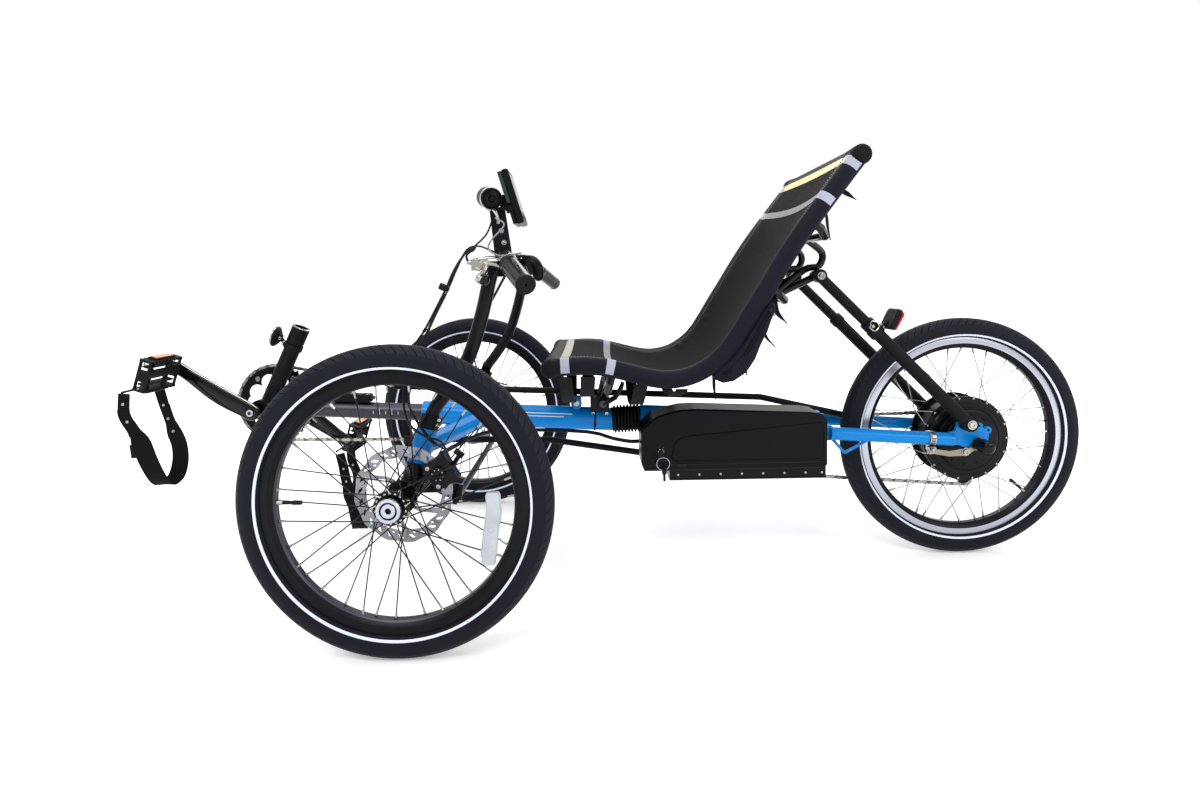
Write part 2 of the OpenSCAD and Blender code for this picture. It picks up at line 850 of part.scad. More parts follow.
module derailleur() {
    trike() color(black) {
        for (w = [-6.4, 4.9])
            translate([0, chain_y + w + 1.5, 0]) rotate([90, 0, 0])
                linear_extrude(1.5) {
                    translate(guide_pulley) circle(r = 8);
                    translate(tension_pulley) circle(r = 8);
                    polygon([
                        guide_pulley + [6, 6], tension_pulley + [6, 6],
                        tension_pulley - [6, 6], guide_pulley - [6, 6]
                    ]);
                }
        for (c = [guide_pulley, tension_pulley]) {
            translate([c[0], chain_y + 1, c[1]]) rotate([90, 0, 0]) cylinder(h = 2, r = pulley_r - 3.6);
            translate([c[0], chain_y + 6, c[1]]) rotate([90, 0, 0]) cylinder(h = 12, r = 2.5);
        }
        translate([guide_pulley[0], dropout_in - 0.1, guide_pulley[1]])
            rotate([90, 0, 0]) cylinder(h = dropout_in - chain_y - 5, r = 9);
        translate([wheelbase, dropout_in - 0.1, 0]) rotate([90, 0, 0])
            linear_extrude(4)
                polygon([[0, -26], [16, -26], [6, -66], [-10, -66]]);
    }
}

// ---- Front assemblies, drawn on the left and mirrored ----

tie_z = -21;
tie_in = 24;
tie_back = 76;
tie_axis = [0.20873, 0.24505, 0.94677];
tie_left = [tie_back, -kp_y + tie_in, tie_z];
tie_pin_r = 4;
tie_eye_half = 5;
tie_slack = 5.6;
tie_drop = 6;

module knuckle() {
    boss_out = track / 2 - rotor_w - 5;
    eye_top = tie_left + (tie_eye_half + face_gap) * tie_axis;
    trike() color(black)
        difference() {
            union() {
                rod(kp(-14), kp(head_high + 24), kingpin_r);
                rod(kp(10), kp(head_low - face_gap), head_r);
                rod([0, -kp_y + 12, 0], [0, -boss_out, 0], 17);
                rod([0, -kp_y, 0], [0, -track / 2 - hub_out + 4, 0], stub_r);
                rod(kp(2) - [0, 2, 0], eye_top + 10 * tie_axis, 7.5);
                rod(eye_top, eye_top + 16 * tie_axis, 9);
                rod(tie_left - (tie_eye_half + 8) * tie_axis, eye_top + tie_axis, tie_pin_r);
                rod([4, -kp_y - 4, 6], [62, -kp_y - 6, 36], 6);
            }
            caliper_frame() {
                caliper_block(0.02);
                translate([66, 8, 0]) rotate([-90, 0, 0]) cylinder(h = 8.1, r = 12.1);
            }
        }
}

module caliper_frame() {
    translate([0, -track / 2 + rotor_w - 1, 0]) rotate([0, -30, 0]) children();
}

module caliper_block(grow) {
    translate([52 - grow, -12 - grow, -24 - grow]) cube([42 + 2 * grow, 24 + 2 * grow, 48 + 2 * grow]);
}

// Where the cable's housing ends on the caliper
cable_stop = [89, -track / 2 + rotor_w, 67];

module caliper() {
    trike() color(black) {
        caliper_frame()
            difference() {
                union() {
                    caliper_block(0);
                    translate([70, -11, 0]) rotate([90, 0, 0]) cylinder(h = 7, r = 12);
                    translate([66, 8, 0]) rotate([-90, 0, 0]) cylinder(h = 8, r = 12);
                }
                translate([-10, -3.5, -60]) cube([rotor_r + 14, 7, 120]);
            }
        rod([82, cable_stop[1] + 8, 46], cable_stop + [3, 7, -6], 4);
        rod(cable_stop + [9, 7, -9], cable_stop + [-5, 7, 2], 5);
    }
}

grip_dir = unit([36, -85, -35]);
grip_end = [214, -kp_y - 76, 337];
grip_start = grip_end - grip_len * grip_dir;
bar_line = concat(
    spline([
        kp(head_high + 12), [46, -kp_y + 26, 134], [68, -kp_y + 30, 162], [103, -kp_y + 31, 216],
        [128, -kp_y + 33, 290], [141, -kp_y + 36, 345], [150, -kp_y + 38, 371]
    ], 3),
    [grip_start - 32 * grip_dir, grip_start - 3 * grip_dir, grip_end - 6 * grip_dir]
);

module handlebar() {
    trike() color(black)
        difference() {
            union() {
                sweep(bar_line, bar_r, [0.3, 1, 0.2], 16);
                rod(kp(head_high + face_gap), kp(head_high + 24), kingpin_r + 5);
            }
            rod(kp(head_high - 10), kp(head_high + 40), kingpin_r + 0.02);
        }
}

module grip() {
    trike() color(rubber)
        difference() {
            rod(grip_start, grip_end, grip_r);
            rod(grip_start - 2 * grip_dir, grip_end - 5 * grip_dir, bar_r + 0.1);
        }
}

module on_bar(back, h, ro) {
    aim(grip_start - back * grip_dir, grip_end) ring(h, ro, bar_r + 0.1);
}

lever_back = 8;
throttle_back = 21;
lever_body = grip_start - lever_back * grip_dir + [-50, -21, 1];

module brake_lever() {
    c = grip_start - lever_back * grip_dir;
    tip = [148, -kp_y - 64, 347];
    trike() color(silver)
        difference() {
            union() {
                aim(c - 4 * grip_dir, grip_end) cylinder(h = 8, r = bar_r + 4);
                rod(c, lever_body, 7);
                rod(lever_body + [6, 2, 0], lever_body + [2, -24, -12], 6);
                rod(lever_body + [2, -22, -11], tip, 5);
                translate(tip) sphere(r = 8);
            }
            rod(grip_start - 40 * grip_dir, grip_end, bar_r + 0.1);
            rod(grip_start - grip_dir, grip_end, grip_r + 0.3);
        }
}

module cable() {
    y = -kp_y;
    trike() color(black)
        sweep(spline([
            lever_body + [-8.5, -3.5, 0.5], lever_body + [-20, -5, 14], [92, y - 6, 398], [79, y, 372],
            [70, y + 4, 336], [38, y + 4, 268], [19, y, 238], [7, y - 10, 186], [4, y - 18, 145],
            [14, y - 20, 113], [38, y - 18, 93], [62, y - 15, 84], cable_stop + [-5.5, 7, 2.4]
        ], 3), 2.5, [0.2, 1, 0.1], 8);
}

module throttle() {
    c = grip_start - throttle_back * grip_dir;
    trike() color(black)
        difference() {
            union() {
                aim(c - 4 * grip_dir, grip_end) cylinder(h = 8, r = bar_r + 4);
                rod(c, c + [24, 10, -2], 8.5);
                rod(c + [21, 9, -2], c + [46, -4, -5], 9);
                rod(c + [44, -3, -4], c + [54, -8, -28], 9.5);
            }
            rod(grip_start - 40 * grip_dir, grip_end, bar_r + 0.1);
        }
}

plate_y = -kp_y + 38 + bar_r + 0.3;

module accessory_bar() {
    trike() color(black)
        translate([0, plate_y + 6, 0]) rotate([90, 0, 0])
            linear_extrude(6)
                difference() {
                    polygon([[148, 352], [176, 352], [180, 380], [168, 470], [142, 470], [150, 380]]);
                    translate([162, 430]) circle(r = 2.5);
                    translate([166, 410]) circle(r = 2.5);
                }
}

module display() {
    trike() color(black)
        translate([160, plate_y + 3, 525]) rotate([0, -16.3, 0]) {
            translate([0, -33, -93]) cube([19, 66, 93]);
            translate([-14, -13, -62]) cube([14, 9.98, 26]);
        }
}

module horn() {
    back = [136, plate_y - 0.3, 477];
    trike() color(black)
        difference() {
            union() {
                rod(back, back + [9, -40, -6], 18);
                rod(back + [0, 0, 0], back + [9, 0, -22], 6);
            }
            translate([0, plate_y - 0.3, 0]) cube([400, 40, 900]);
        }
}

// The right eye is a slot, where the linkage is left open
module tie_rod() {
    right = flip(tie_left);
    right_axis = flip(tie_axis);
    trike() color(black)
        difference() {
            union() {
                rod(tie_left - tie_drop * tie_axis, right - tie_drop * right_axis, tie_r);
                rod(tie_left - tie_eye_half * tie_axis, tie_left + tie_eye_half * tie_axis, 10);
                rod(right - tie_eye_half * right_axis, right - 1.5 * right_axis, 13.5);
            }
            rod(tie_left - 20 * tie_axis, tie_left + 20 * tie_axis, tie_pin_r + run_gap);
            for (dy = [-tie_slack, 0, tie_slack])
                rod(right - 20 * right_axis + [0, dy, 0], right + 20 * right_axis + [0, dy, 0], tie_pin_r + 1.5);
        }
}

// ---- Crank and pedals ----

crank_dir = [-cos(crank_angle), 0, sin(crank_angle)];
pedal_left = bb + crank_len * crank_dir;
pedal_right = bb - crank_len * crank_dir;

module arm_outline() {
    circle(r = 17);
    translate([crank_len, 0]) circle(r = 13);
    polygon([[4, 16], [crank_len, 12], [crank_len, -12], [4, -16]]);
}

module crankset() {
    trike() color(black) {
        rod(bb - [0, arm_in, 0], bb + [0, arm_in, 0], spindle_r);
        translate([bb[0], -arm_in, bb[2]]) rotate([90, 0, 0])
            linear_extrude(arm_t) rotate(180 - crank_angle) arm_outline();
        translate([bb[0], arm_in + arm_t, bb[2]]) rotate([90, 0, 0])
            linear_extrude(arm_t) rotate(-crank_angle) arm_outline();
        rod(pedal_left - [0, arm_in, 0], pedal_left - [0, pedal_in + pedal_w - 6, 0], pedal_pin_r);
        rod(pedal_right + [0, arm_in, 0], pedal_right + [0, pedal_in + pedal_w - 6, 0], pedal_pin_r);
    }
}

module chainring() {
    holes = 5;
    trike() color(black)
        translate([bb[0], chain_y + 2, bb[2]]) rotate([90, 0, 0])
            difference() {
                union() {
                    cylinder(h = 4, r = ring_pitch_r - chain_t / 2 - 0.5, $fn = 96);
                    translate([0, 0, -arm_in + chain_y + 2.1]) cylinder(h = arm_in - chain_y - 2.1, r = 16);
                }
                translate([0, 0, -20]) cylinder(h = 40, r = spindle_r + run_gap);
                for (k = [0:holes - 1])
                    rotate(360 / holes * (k + 0.3))
                        translate([46, 0, -1]) {
                            translate([0, -12, 0]) cylinder(h = 6, r = 18);
                            translate([0, 12, 0]) cylinder(h = 6, r = 18);
                        }
            }
}

module pedal(c) {
    half = 31;
    trike() color(black)
        translate(c) rotate([0, -pedal_lean, 0])
            difference() {
                union() {
                    translate([0, -pedal_in, 0]) rotate([90, 0, 0]) cylinder(h = pedal_w, r = 11);
                    for (y = [-pedal_in - 6, -pedal_in - pedal_w])
                        translate([-half, y, -10]) cube([2 * half, 6, 20]);
                    for (x = [-half, half - 5])
                        translate([x, -pedal_in - pedal_w, -13]) cube([5, pedal_w, 26]);
                    for (x = [-half - 6, half])
                        translate([x, -pedal_in - pedal_w / 2 - 26, -6]) cube([6, 52, 12]);
                }
                translate([0, 0, 0]) rotate([90, 0, 0]) cylinder(h = 300, r = pedal_pin_r + run_gap);
            }
}

// Heel sling hanging below a pedal
module foot_strap(c) {
    half = pedal_w / 2 - 1;
    long = 146;
    band = 25;
    top = 31 * sin(pedal_lean) + 13 * cos(pedal_lean) + 0.5;
    trike() color(black)
        translate([c[0] - 22, -pedal_in - pedal_w / 2, c[2] - top])
            rotate([90, 0, 90])
                linear_extrude(band)
                    difference() {
                        union() {
                            translate([0, -long]) circle(r = half);
                            translate([-half, -long]) square([2 * half, long]);
                        }
                        translate([0, -long]) circle(r = half - 3);
                        translate([-half + 3, -long]) square([2 * half - 6, long + 1]);
                    }
}

// Bundle of cables from the left head tube along the frame to the battery
module frame_cables() {
    bottom = main_r + 4.3;
    trike() color(black)
        sweep(spline([
            [44, -kp_y + 62, 44], [66, -150, 42], [100, -52, 38],
            on_main(180) - [0, 6, bottom], on_main(300) - [0, 6, bottom], [352, -30, 14],
            [battery_end - battery_l - 20, -54, 13], [battery_end - battery_l - 0.9, -54, 13]
        ], 3), 4, [0, 0, 1], 8);
}

module left_knuckle() { knuckle(); }
module left_handlebar() { handlebar(); }
module left_grip() { grip(); }
module left_brake_lever() { brake_lever(); }
module left_caliper() { caliper(); }
module left_cable() { cable(); }
module right_knuckle() { mirrored() knuckle(); }
module right_handlebar() { mirrored() handlebar(); }
module right_grip() { mirrored() grip(); }
module right_brake_lever() { mirrored() brake_lever(); }
module right_caliper() { mirrored() caliper(); }
module right_cable() { mirrored() cable(); }

module left_hub() { left_wheel_frame() hub_solid(); }
module left_rotor() { left_wheel_frame() rotor_solid(); }
module left_spokes() { left_wheel_frame() spokes_solid(hub_flange_r + 0.9, hub_flange_w, 42); }
module left_rim() { left_wheel_frame() rim_solid(black); }
module left_tyre() { left_wheel_frame() tyre_solid(); }
module right_hub() { right_wheel_frame() hub_solid(); }
module right_rotor() { right_wheel_frame() rotor_solid(); }
module right_spokes() { right_wheel_frame() spokes_solid(hub_flange_r + 0.9, hub_flange_w, 42); }
module right_rim() { right_wheel_frame() rim_solid(black); }
module right_tyre() { right_wheel_frame() tyre_solid(); }

module rear_motor() { rear_wheel_frame() motor_solid(); }
module rear_sprockets() { rear_wheel_frame() sprockets_solid(); }
module rear_spokes() { rear_wheel_frame() spokes_solid(motor_r + 0.9, motor_half_w, 22); }
module rear_rim() { rear_wheel_frame() rim_solid(silver); }
module rear_tyre() { rear_wheel_frame() tyre_solid(); }

module left_pedal() { pedal(pedal_left); }
module left_foot_strap() { foot_strap(pedal_left); }
module right_pedal() { mirrored() pedal(pedal_right); }
module right_foot_strap() { mirrored() foot_strap(pedal_right); }

main_tube();
cross_member();
boom();
accessory_post();
front_reflector();
controller_box();
rear_frame();
suspension_bellows();
rear_axle();
torque_arm();
battery();
battery_rail();
seat_frame();
seat_sling();
seat_struts();
seat_clamp();
seat_pouch();
tail_light();
chain();
chain_tubes();
derailleur();
frame_cables();
left_knuckle();
left_handlebar();
left_grip();
left_brake_lever();
left_caliper();
left_cable();
throttle();
accessory_bar();
display();
horn();
right_knuckle();
right_handlebar();
right_grip();
right_brake_lever();
right_caliper();
right_cable();
tie_rod();
left_hub();
left_rotor();
left_spokes();
left_rim();
left_tyre();
right_hub();
right_rotor();
right_spokes();
right_rim();
right_tyre();
rear_motor();
rear_sprockets();
rear_spokes();
rear_rim();
rear_tyre();
crankset();
chainring();
left_pedal();
left_foot_strap();
right_pedal();
right_foot_strap();
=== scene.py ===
"""Recumbent trike: looks and small parts over the CAD pieces, with their materials, camera and light."""

from math import copysign, cos, exp, pi, radians, sin, tan

import bmesh
import bpy
from mathutils import Matrix, Vector


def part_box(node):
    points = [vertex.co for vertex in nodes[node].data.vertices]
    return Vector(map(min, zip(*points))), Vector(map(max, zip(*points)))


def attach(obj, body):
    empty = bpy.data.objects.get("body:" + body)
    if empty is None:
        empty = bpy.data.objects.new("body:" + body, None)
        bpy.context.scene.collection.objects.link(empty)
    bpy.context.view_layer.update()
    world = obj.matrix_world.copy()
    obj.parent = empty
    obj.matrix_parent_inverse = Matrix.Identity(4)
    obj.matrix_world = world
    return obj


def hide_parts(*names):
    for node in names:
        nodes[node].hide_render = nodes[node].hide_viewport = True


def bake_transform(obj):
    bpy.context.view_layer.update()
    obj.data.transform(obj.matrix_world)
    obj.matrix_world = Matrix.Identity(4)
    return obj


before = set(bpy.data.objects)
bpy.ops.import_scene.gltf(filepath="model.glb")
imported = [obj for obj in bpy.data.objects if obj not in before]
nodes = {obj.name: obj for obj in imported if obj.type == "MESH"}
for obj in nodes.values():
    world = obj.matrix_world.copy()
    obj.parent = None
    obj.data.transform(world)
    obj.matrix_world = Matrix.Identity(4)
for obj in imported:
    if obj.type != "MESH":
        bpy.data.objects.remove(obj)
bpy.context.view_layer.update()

# ---- Where things are: millimetres from the middle of the front axle ----

front_low, front_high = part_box("left_tyre")
AXLE = Vector(((front_low.x + front_high.x) / 2, 0, (front_low.z + front_high.z) / 2))
TRACK_HALF = -(front_low.y + front_high.y) / 2 * 1000
rear_low, rear_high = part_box("rear_tyre")
WHEELBASE = ((rear_low.x + rear_high.x) / 2 - AXLE.x) * 1000
WHEEL_R = (front_high.x - front_low.x) / 2 * 1000
TYRE_HALF = (front_high.y - front_low.y) / 2 * 1000


def at(x, y, z):
    """A point in metres from millimetres that start at the middle of the front axle."""
    return AXLE + Vector((x, y, z)) / 1000


def mm(value):
    """Metres from millimetres."""
    return value / 1000


# The main tube's middle line falls to the rear
TUBE_FALL = 0.05498


def tube_z(x):
    """Height of the main tube's middle line."""
    return 70.6 - TUBE_FALL * (x + 48)


# ---- Camera ----


def turn(axis, degrees):
    """A turn about one axis."""
    return Matrix.Rotation(radians(degrees), 3, axis)


VIEWPOINT = (315, -1402, 340)
look = turn("Z", 0.35) @ turn("X", -3.52) @ turn("Y", 1.12)
camera = bpy.data.objects.new("camera", bpy.data.cameras.new("camera"))
bpy.context.scene.collection.objects.link(camera)
right_way, away, up_way = look.col[0], look.col[1], look.col[2]
pose = Matrix((right_way, up_way, -away)).transposed().to_4x4()
pose.translation = at(*VIEWPOINT)
camera.matrix_world = pose
camera.data.sensor_width = 36
camera.data.lens = 20.01
camera.data.shift_x = 0.0092
camera.data.shift_y = -0.0646
camera.data.clip_start = 0.05
bpy.context.scene.camera = camera

# ---- Materials ----


def tint(hex_value):
    """Linear colour of an sRGB hex value."""
    channels = [int(hex_value[i : i + 2], 16) / 255 for i in (0, 2, 4)]
    return tuple(c / 12.92 if c <= 0.04045 else ((c + 0.055) / 1.055) ** 2.4 for c in channels) + (1.0,)


def add(tree, kind, inputs=None, **settings):
    """Adds a shader node, with its settings, its values and its links."""
    made = tree.nodes.new("ShaderNode" + kind)
    for key, value in settings.items():
        setattr(made, key, value)
    for key, value in (inputs or {}).items():
        if isinstance(value, bpy.types.NodeSocket):
            tree.links.new(value, made.inputs[key])
        else:
            made.inputs[key].default_value = value
    return made


def finish_of(name, colour, roughness, metallic=0.0, **sockets):
    """A new material with its main shader set, its tree, the shader and the coordinates."""
    made = bpy.data.materials.new(name)
    made.use_nodes = True
    tree = made.node_tree
    shader = tree.nodes["Principled BSDF"]
    shader.inputs["Base Color"].default_value = tint(colour)
    shader.inputs["Roughness"].default_value = roughness
    shader.inputs["Metallic"].default_value = metallic
    for key, value in sockets.items():
        shader.inputs[key.replace("_", " ")].default_value = value
    made.diffuse_color = tint(colour)
    return made, tree, shader, add(tree, "TexCoord").outputs["Object"]


def grain(tree, where, size_mm, detail=3.0, stretch=(1, 1, 1)):
    """Noise whose grains are about size_mm across, from 0 to 1."""
    placed = add(tree, "Mapping", {"Vector": where, "Scale": stretch}).outputs["Vector"]
    return add(
        tree, "TexNoise", {"Vector": placed, "Scale": 1000 / size_mm, "Detail": detail, "Roughness": 0.55}
    ).outputs["Fac"]


def between(tree, factor, low, high, start=0.0):
    """Scales start to 1 onto low to high."""
    ends = {"Value": factor, "From Min": start, "To Min": low, "To Max": high}
    return add(tree, "MapRange", ends).outputs["Result"]


def maths(tree, operation, *values):
    """The result of a sum on numbers or sockets."""
    return add(tree, "Math", dict(enumerate(values)), operation=operation).outputs[0]


def mixed(tree, factor, first, second, blend_type="MIX"):
    """Mixes two colours, each a hex value or a socket. A Mix node's colours are its inputs 6 and 7."""
    ends = {key: tint(value) if isinstance(value, str) else value for key, value in ((6, first), (7, second))}
    return add(tree, "Mix", {"Factor": factor, **ends}, data_type="RGBA", blend_type=blend_type).outputs[2]


def bumped(tree, shader, height, depth_mm, strength=1.0):
    """Raises the surface by a height from 0 to 1."""
    bump = add(tree, "Bump", {"Height": height, "Distance": mm(depth_mm), "Strength": strength})
    tree.links.new(bump.outputs["Normal"], shader.inputs["Normal"])


def worn(tree, shader, cloud, colour, other, rough_low, rough_high):
    """Cloudy variation in colour and gloss."""
    tree.links.new(mixed(tree, cloud, colour, other), shader.inputs["Base Color"])
    tree.links.new(between(tree, cloud, rough_low, rough_high), shader.inputs["Roughness"])


def surface(name, colours, rough, metallic, cloud_mm, grain_mm, detail, depth_mm, **sockets):
    """A material with clouds of two colours and of gloss, and a fine raised grain."""
    made, tree, shader, where = finish_of(name, colours[0], rough[0], metallic, **sockets)
    worn(tree, shader, grain(tree, where, cloud_mm, 4.0), *colours, *rough)
    bumped(tree, shader, grain(tree, where, grain_mm, detail), depth_mm)
    return made


def powder_coat(name, colour, other, rough_low, rough_high, coat, peel_mm=1.6, depth_mm=0.02, level=0.5):
    """Powder coat on aluminium: a thin plastic skin with a faint orange peel."""
    return surface(name, (colour, other), (rough_low, rough_high), 0.0, 60, peel_mm, 1.0, depth_mm,
                   Coat_Weight=coat, Coat_Roughness=0.08, Specular_IOR_Level=level)


def anodised(name, colour, other, rough_low, rough_high, metallic=0.9):
    """Anodised aluminium: dyed metal with a fine matt grain."""
    return surface(name, (colour, other), (rough_low, rough_high), metallic, 25, 0.8, 2.0, 0.006)


def moulded(name, colour, other, rough_low, rough_high, grain_mm=0.9, depth_mm=0.012, level=0.5, coat=0.0):
    """Injection-moulded plastic or rubber with a fine texture from its mould."""
    return surface(name, (colour, other), (rough_low, rough_high), 0.0, 30, grain_mm, 2.0, depth_mm,
                   Specular_IOR_Level=level, Coat_Weight=coat)


def metal(name, colour, other, rough_low, rough_high):
    """Bare metal with fine lines from machining or drawing."""
    made, tree, shader, where = finish_of(name, colour, rough_low, 1.0)
    streak = grain(tree, where, 0.6, 2.0)
    worn(tree, shader, streak, colour, other, rough_low, rough_high)
    bumped(tree, shader, streak, 0.004)
    return made


def striped_coat(name, colour, other, stripe, lines, half_width, x_from):
    """The frame's glossy powder coat, with thin lines on the main tube: each line is (height, end)."""
    made, tree, shader, where = finish_of(
        name, colour, 0.2, Coat_Weight=0.1, Coat_Roughness=0.05, Specular_IOR_Level=0.12
    )
    cloud = grain(tree, where, 60, 4.0)
    worn(tree, shader, cloud, colour, other, 0.2, 0.28)
    bumped(tree, shader, grain(tree, where, 1.6, 1.0), 0.015)
    parts = add(tree, "SeparateXYZ", {"Vector": where}).outputs
    x, z = parts["X"], parts["Z"]
    run = maths(tree, "MULTIPLY_ADD", x, TUBE_FALL, -TUBE_FALL * AXLE.x - at(0, 0, tube_z(0)).z)
    height = maths(tree, "ADD", z, run)
    mask = None
    for line_height, x_to in lines:
        near = maths(tree, "COMPARE", height, mm(line_height), mm(half_width))
        after = maths(tree, "GREATER_THAN", x, AXLE.x + mm(x_from))
        before = maths(tree, "LESS_THAN", x, AXLE.x + mm(x_to))
        line = maths(tree, "MULTIPLY", near, maths(tree, "MULTIPLY", after, before))
        mask = maths(tree, "MAXIMUM", mask, line) if mask else line
    base = mixed(tree, cloud, colour, other)
    tree.links.new(mixed(tree, mask, base, stripe), shader.inputs["Base Color"])
    return made


def woven(name, warp, weft, thread_mm, rough=0.85, sheen=0.3, depth_mm=0.15):
    """Woven cloth on the piece's own UV map, which is in metres: two crossing sets of threads."""
    made, tree, shader, _ = finish_of(
        name, warp, rough, Sheen_Weight=sheen, Sheen_Roughness=0.4, Specular_IOR_Level=0.06
    )
    uv = add(tree, "TexCoord").outputs["UV"]
    parts = add(tree, "SeparateXYZ", {"Vector": uv}).outputs
    turns = 2 * pi / mm(thread_mm)
    waves = [maths(tree, "SINE", maths(tree, "MULTIPLY", parts[axis], turns)) for axis in ("X", "Y")]
    level = between(tree, maths(tree, "MULTIPLY", *waves), 0.0, 1.0, -1.0)
    cloud = add(tree, "TexNoise", {"Vector": uv, "Scale": 40.0, "Detail": 4.0}).outputs["Fac"]
    shaded = mixed(tree, between(tree, cloud, 0.0, 0.35), mixed(tree, level, warp, weft), "8c8c90",
                   "MULTIPLY")
    tree.links.new(shaded, shader.inputs["Base Color"])
    bumped(tree, shader, level, depth_mm, 0.8)
    return made


# Powder coat: a bright, even blue under a clear gloss
BLUE = powder_coat("powder_coat_blue", "0072ba", "0579c4", 0.2, 0.3, 0.1, level=0.12)
MAIN_BLUE = striped_coat(
    "powder_coat_blue_lined", "0079c6", "057fd0", "d9d6b4", ((11.5, 268), (5.5, 250)), half_width=0.8,
    x_from=60
)
# Powder coat: satin black on the bars and the seat's tubes
SATIN_BLACK = powder_coat("powder_coat_satin_black", "09090c", "0e0e12", 0.26, 0.36, 0.05, level=0.1)
MATT_BLACK = powder_coat("powder_coat_matt_black", "0b0b0e", "111114", 0.45, 0.58, 0.0, 0.8, 0.03, 0.09)
GLOSS_BLACK = powder_coat("powder_coat_gloss_black", "050507", "09090b", 0.1, 0.16, 0.1, level=0.15)
# Anodised aluminium: dark dye over metal
BLACK_ANODISED = anodised("anodised_aluminium_black", "111114", "1b1b1f", 0.3, 0.42)
GRAPHITE = anodised("anodised_aluminium_graphite", "35353b", "414147", 0.32, 0.44)
# Polished and machined aluminium: bright, with a soft highlight. The polished one also paints a highlight
# strip along the upper edges of the crank arms
POLISHED_AND_PAINTED_HIGHLIGHT = metal("polished_aluminium_and_painted_highlight", "b2aea3", "93908a", 0.12, 0.22)
MACHINED = metal("machined_aluminium", "b7bac4", "969aa5", 0.22, 0.34)
# Zinc-plated and stainless steel
ZINC = metal("zinc_plated_steel", "a4a39c", "86857f", 0.25, 0.4)
STAINLESS = metal("stainless_steel", "a6a8ac", "85878b", 0.18, 0.28)
ROTOR_STEEL = metal("ground_rotor_steel", "86878c", "68696d", 0.2, 0.3)
BRONZED = metal("burnished_steel", "8d8575", "6b6557", 0.2, 0.32)
BLACK_STEEL = anodised("blackened_steel", "141416", "1f1f22", 0.3, 0.42, 0.8)
CHAIN_STEEL = metal("oiled_chain_steel", "6c6a66", "46443f", 0.28, 0.45)
# Moulded plastics and rubbers
MATT_PLASTIC = moulded("moulded_nylon_black", "0d0d0f", "141416", 0.48, 0.6, level=0.1)
# The gloss black plastic also fills the struts' holes as painted shade
GLOSS_PLASTIC_AND_HOLE_SHADE = moulded("moulded_abs_gloss_black_and_hole_shade", "060608", "0a0a0c", 0.14, 0.24, 4.0, 0.01, level=0.18)
CASE_PLASTIC = moulded("moulded_abs_satin_black", "09090d", "0d0d12", 0.28, 0.38, 0.7, 0.012, level=0.08)
RUBBER = moulded("moulded_rubber_black", "0d0d10", "131317", 0.42, 0.56, 0.7, 0.02, level=0.12)
GRIP_RUBBER = moulded("moulded_grip_rubber", "121214", "1a1a1c", 0.2, 0.3, 1.2, 0.012, level=0.2)
TYRE_RUBBER = moulded("vulcanised_tyre_rubber", "0e1017", "14161f", 0.5, 0.66, 1.0, 0.03, level=0.1)
TREAD_RUBBER = moulded("vulcanised_tread_rubber", "14161d", "1b1d26", 0.55, 0.72, 1.0, 0.05, level=0.12)
STRIPE = moulded("reflective_tyre_line", "c9d0e2", "dfe4f0", 0.35, 0.45, 0.5, 0.01)
AMBER = moulded("amber_reflector_lens", "e07a14", "f29a35", 0.15, 0.25, 2.0, 0.1, coat=0.6)
RED = moulded("red_lens", "c01519", "e0262a", 0.12, 0.2, 2.5, 0.15, coat=0.8)
CLEAR = moulded("clear_prism_lens", "8d9399", "bcc2c7", 0.12, 0.3, 2.2, 0.4, coat=0.5)
SIGNAL_WHITE = moulded("printed_white", "e6e6e2", "d8d8d4", 0.45, 0.55)
SCREEN = moulded("display_glass", "0a0d0c", "101413", 0.08, 0.14, 3.0, 0.004, level=0.3)
GREEN_BLACK = moulded("tinted_acrylic_edge", "0f231a", "173325", 0.2, 0.3, 2.0, 0.01, level=0.3)
CABLE_SLEEVE = moulded("cable_sleeve_black", "0b0c0e", "121316", 0.4, 0.52, 0.8, 0.01, level=0.14)
CABLE_GREY = moulded("cable_sleeve_grey", "6d7078", "85888f", 0.4, 0.5, 0.8, 0.01)
TAPE_METAL = metal("plated_ring", "cfcab8", "b3ae9d", 0.18, 0.26)
# Cloth
MESH_CLOTH = woven("woven_polyester_mesh", "1b1b1d", "0a0a0b", 2.4, 0.85, 0.01, 0.25)
WRAP_CLOTH = woven("woven_nylon_navy_black", "1b1b26", "13131b", 1.6, 0.6, 0.03, 0.06)
WEBBING = woven("woven_webbing_black", "111113", "08080a", 2.6, 0.7, 0.04, 0.2)
TAPE_SILVER = woven("reflective_tape_silver", "b4b9c8", "989eb0", 2.0, 0.35, 0.0, 0.03)
TAPE_GREY = woven("reflective_tape_grey", "8f918e", "7b7d7a", 2.0, 0.4, 0.0, 0.03)
TAPE_CREAM = woven("reflective_tape_cream", "b9b9a6", "a3a391", 2.0, 0.4, 0.0, 0.03)
TAPE_YELLOW = woven("reflective_tape_yellow", "efe3a6", "e2d48e", 2.0, 0.4, 0.0, 0.03)
TAPE_OLIVE = woven("front_panel_mesh", "4c4c3f", "35352d", 2.4, 0.7, 0.03, 0.2)
HEM_CLOTH = moulded("hem_cloth_black", "0a0a0d", "101014", 0.7, 0.8, 1.4, 0.12, level=0.12)
THREAD = moulded("stitching_thread", "77777c", "8d8d92", 0.7, 0.8, 0.5, 0.05)

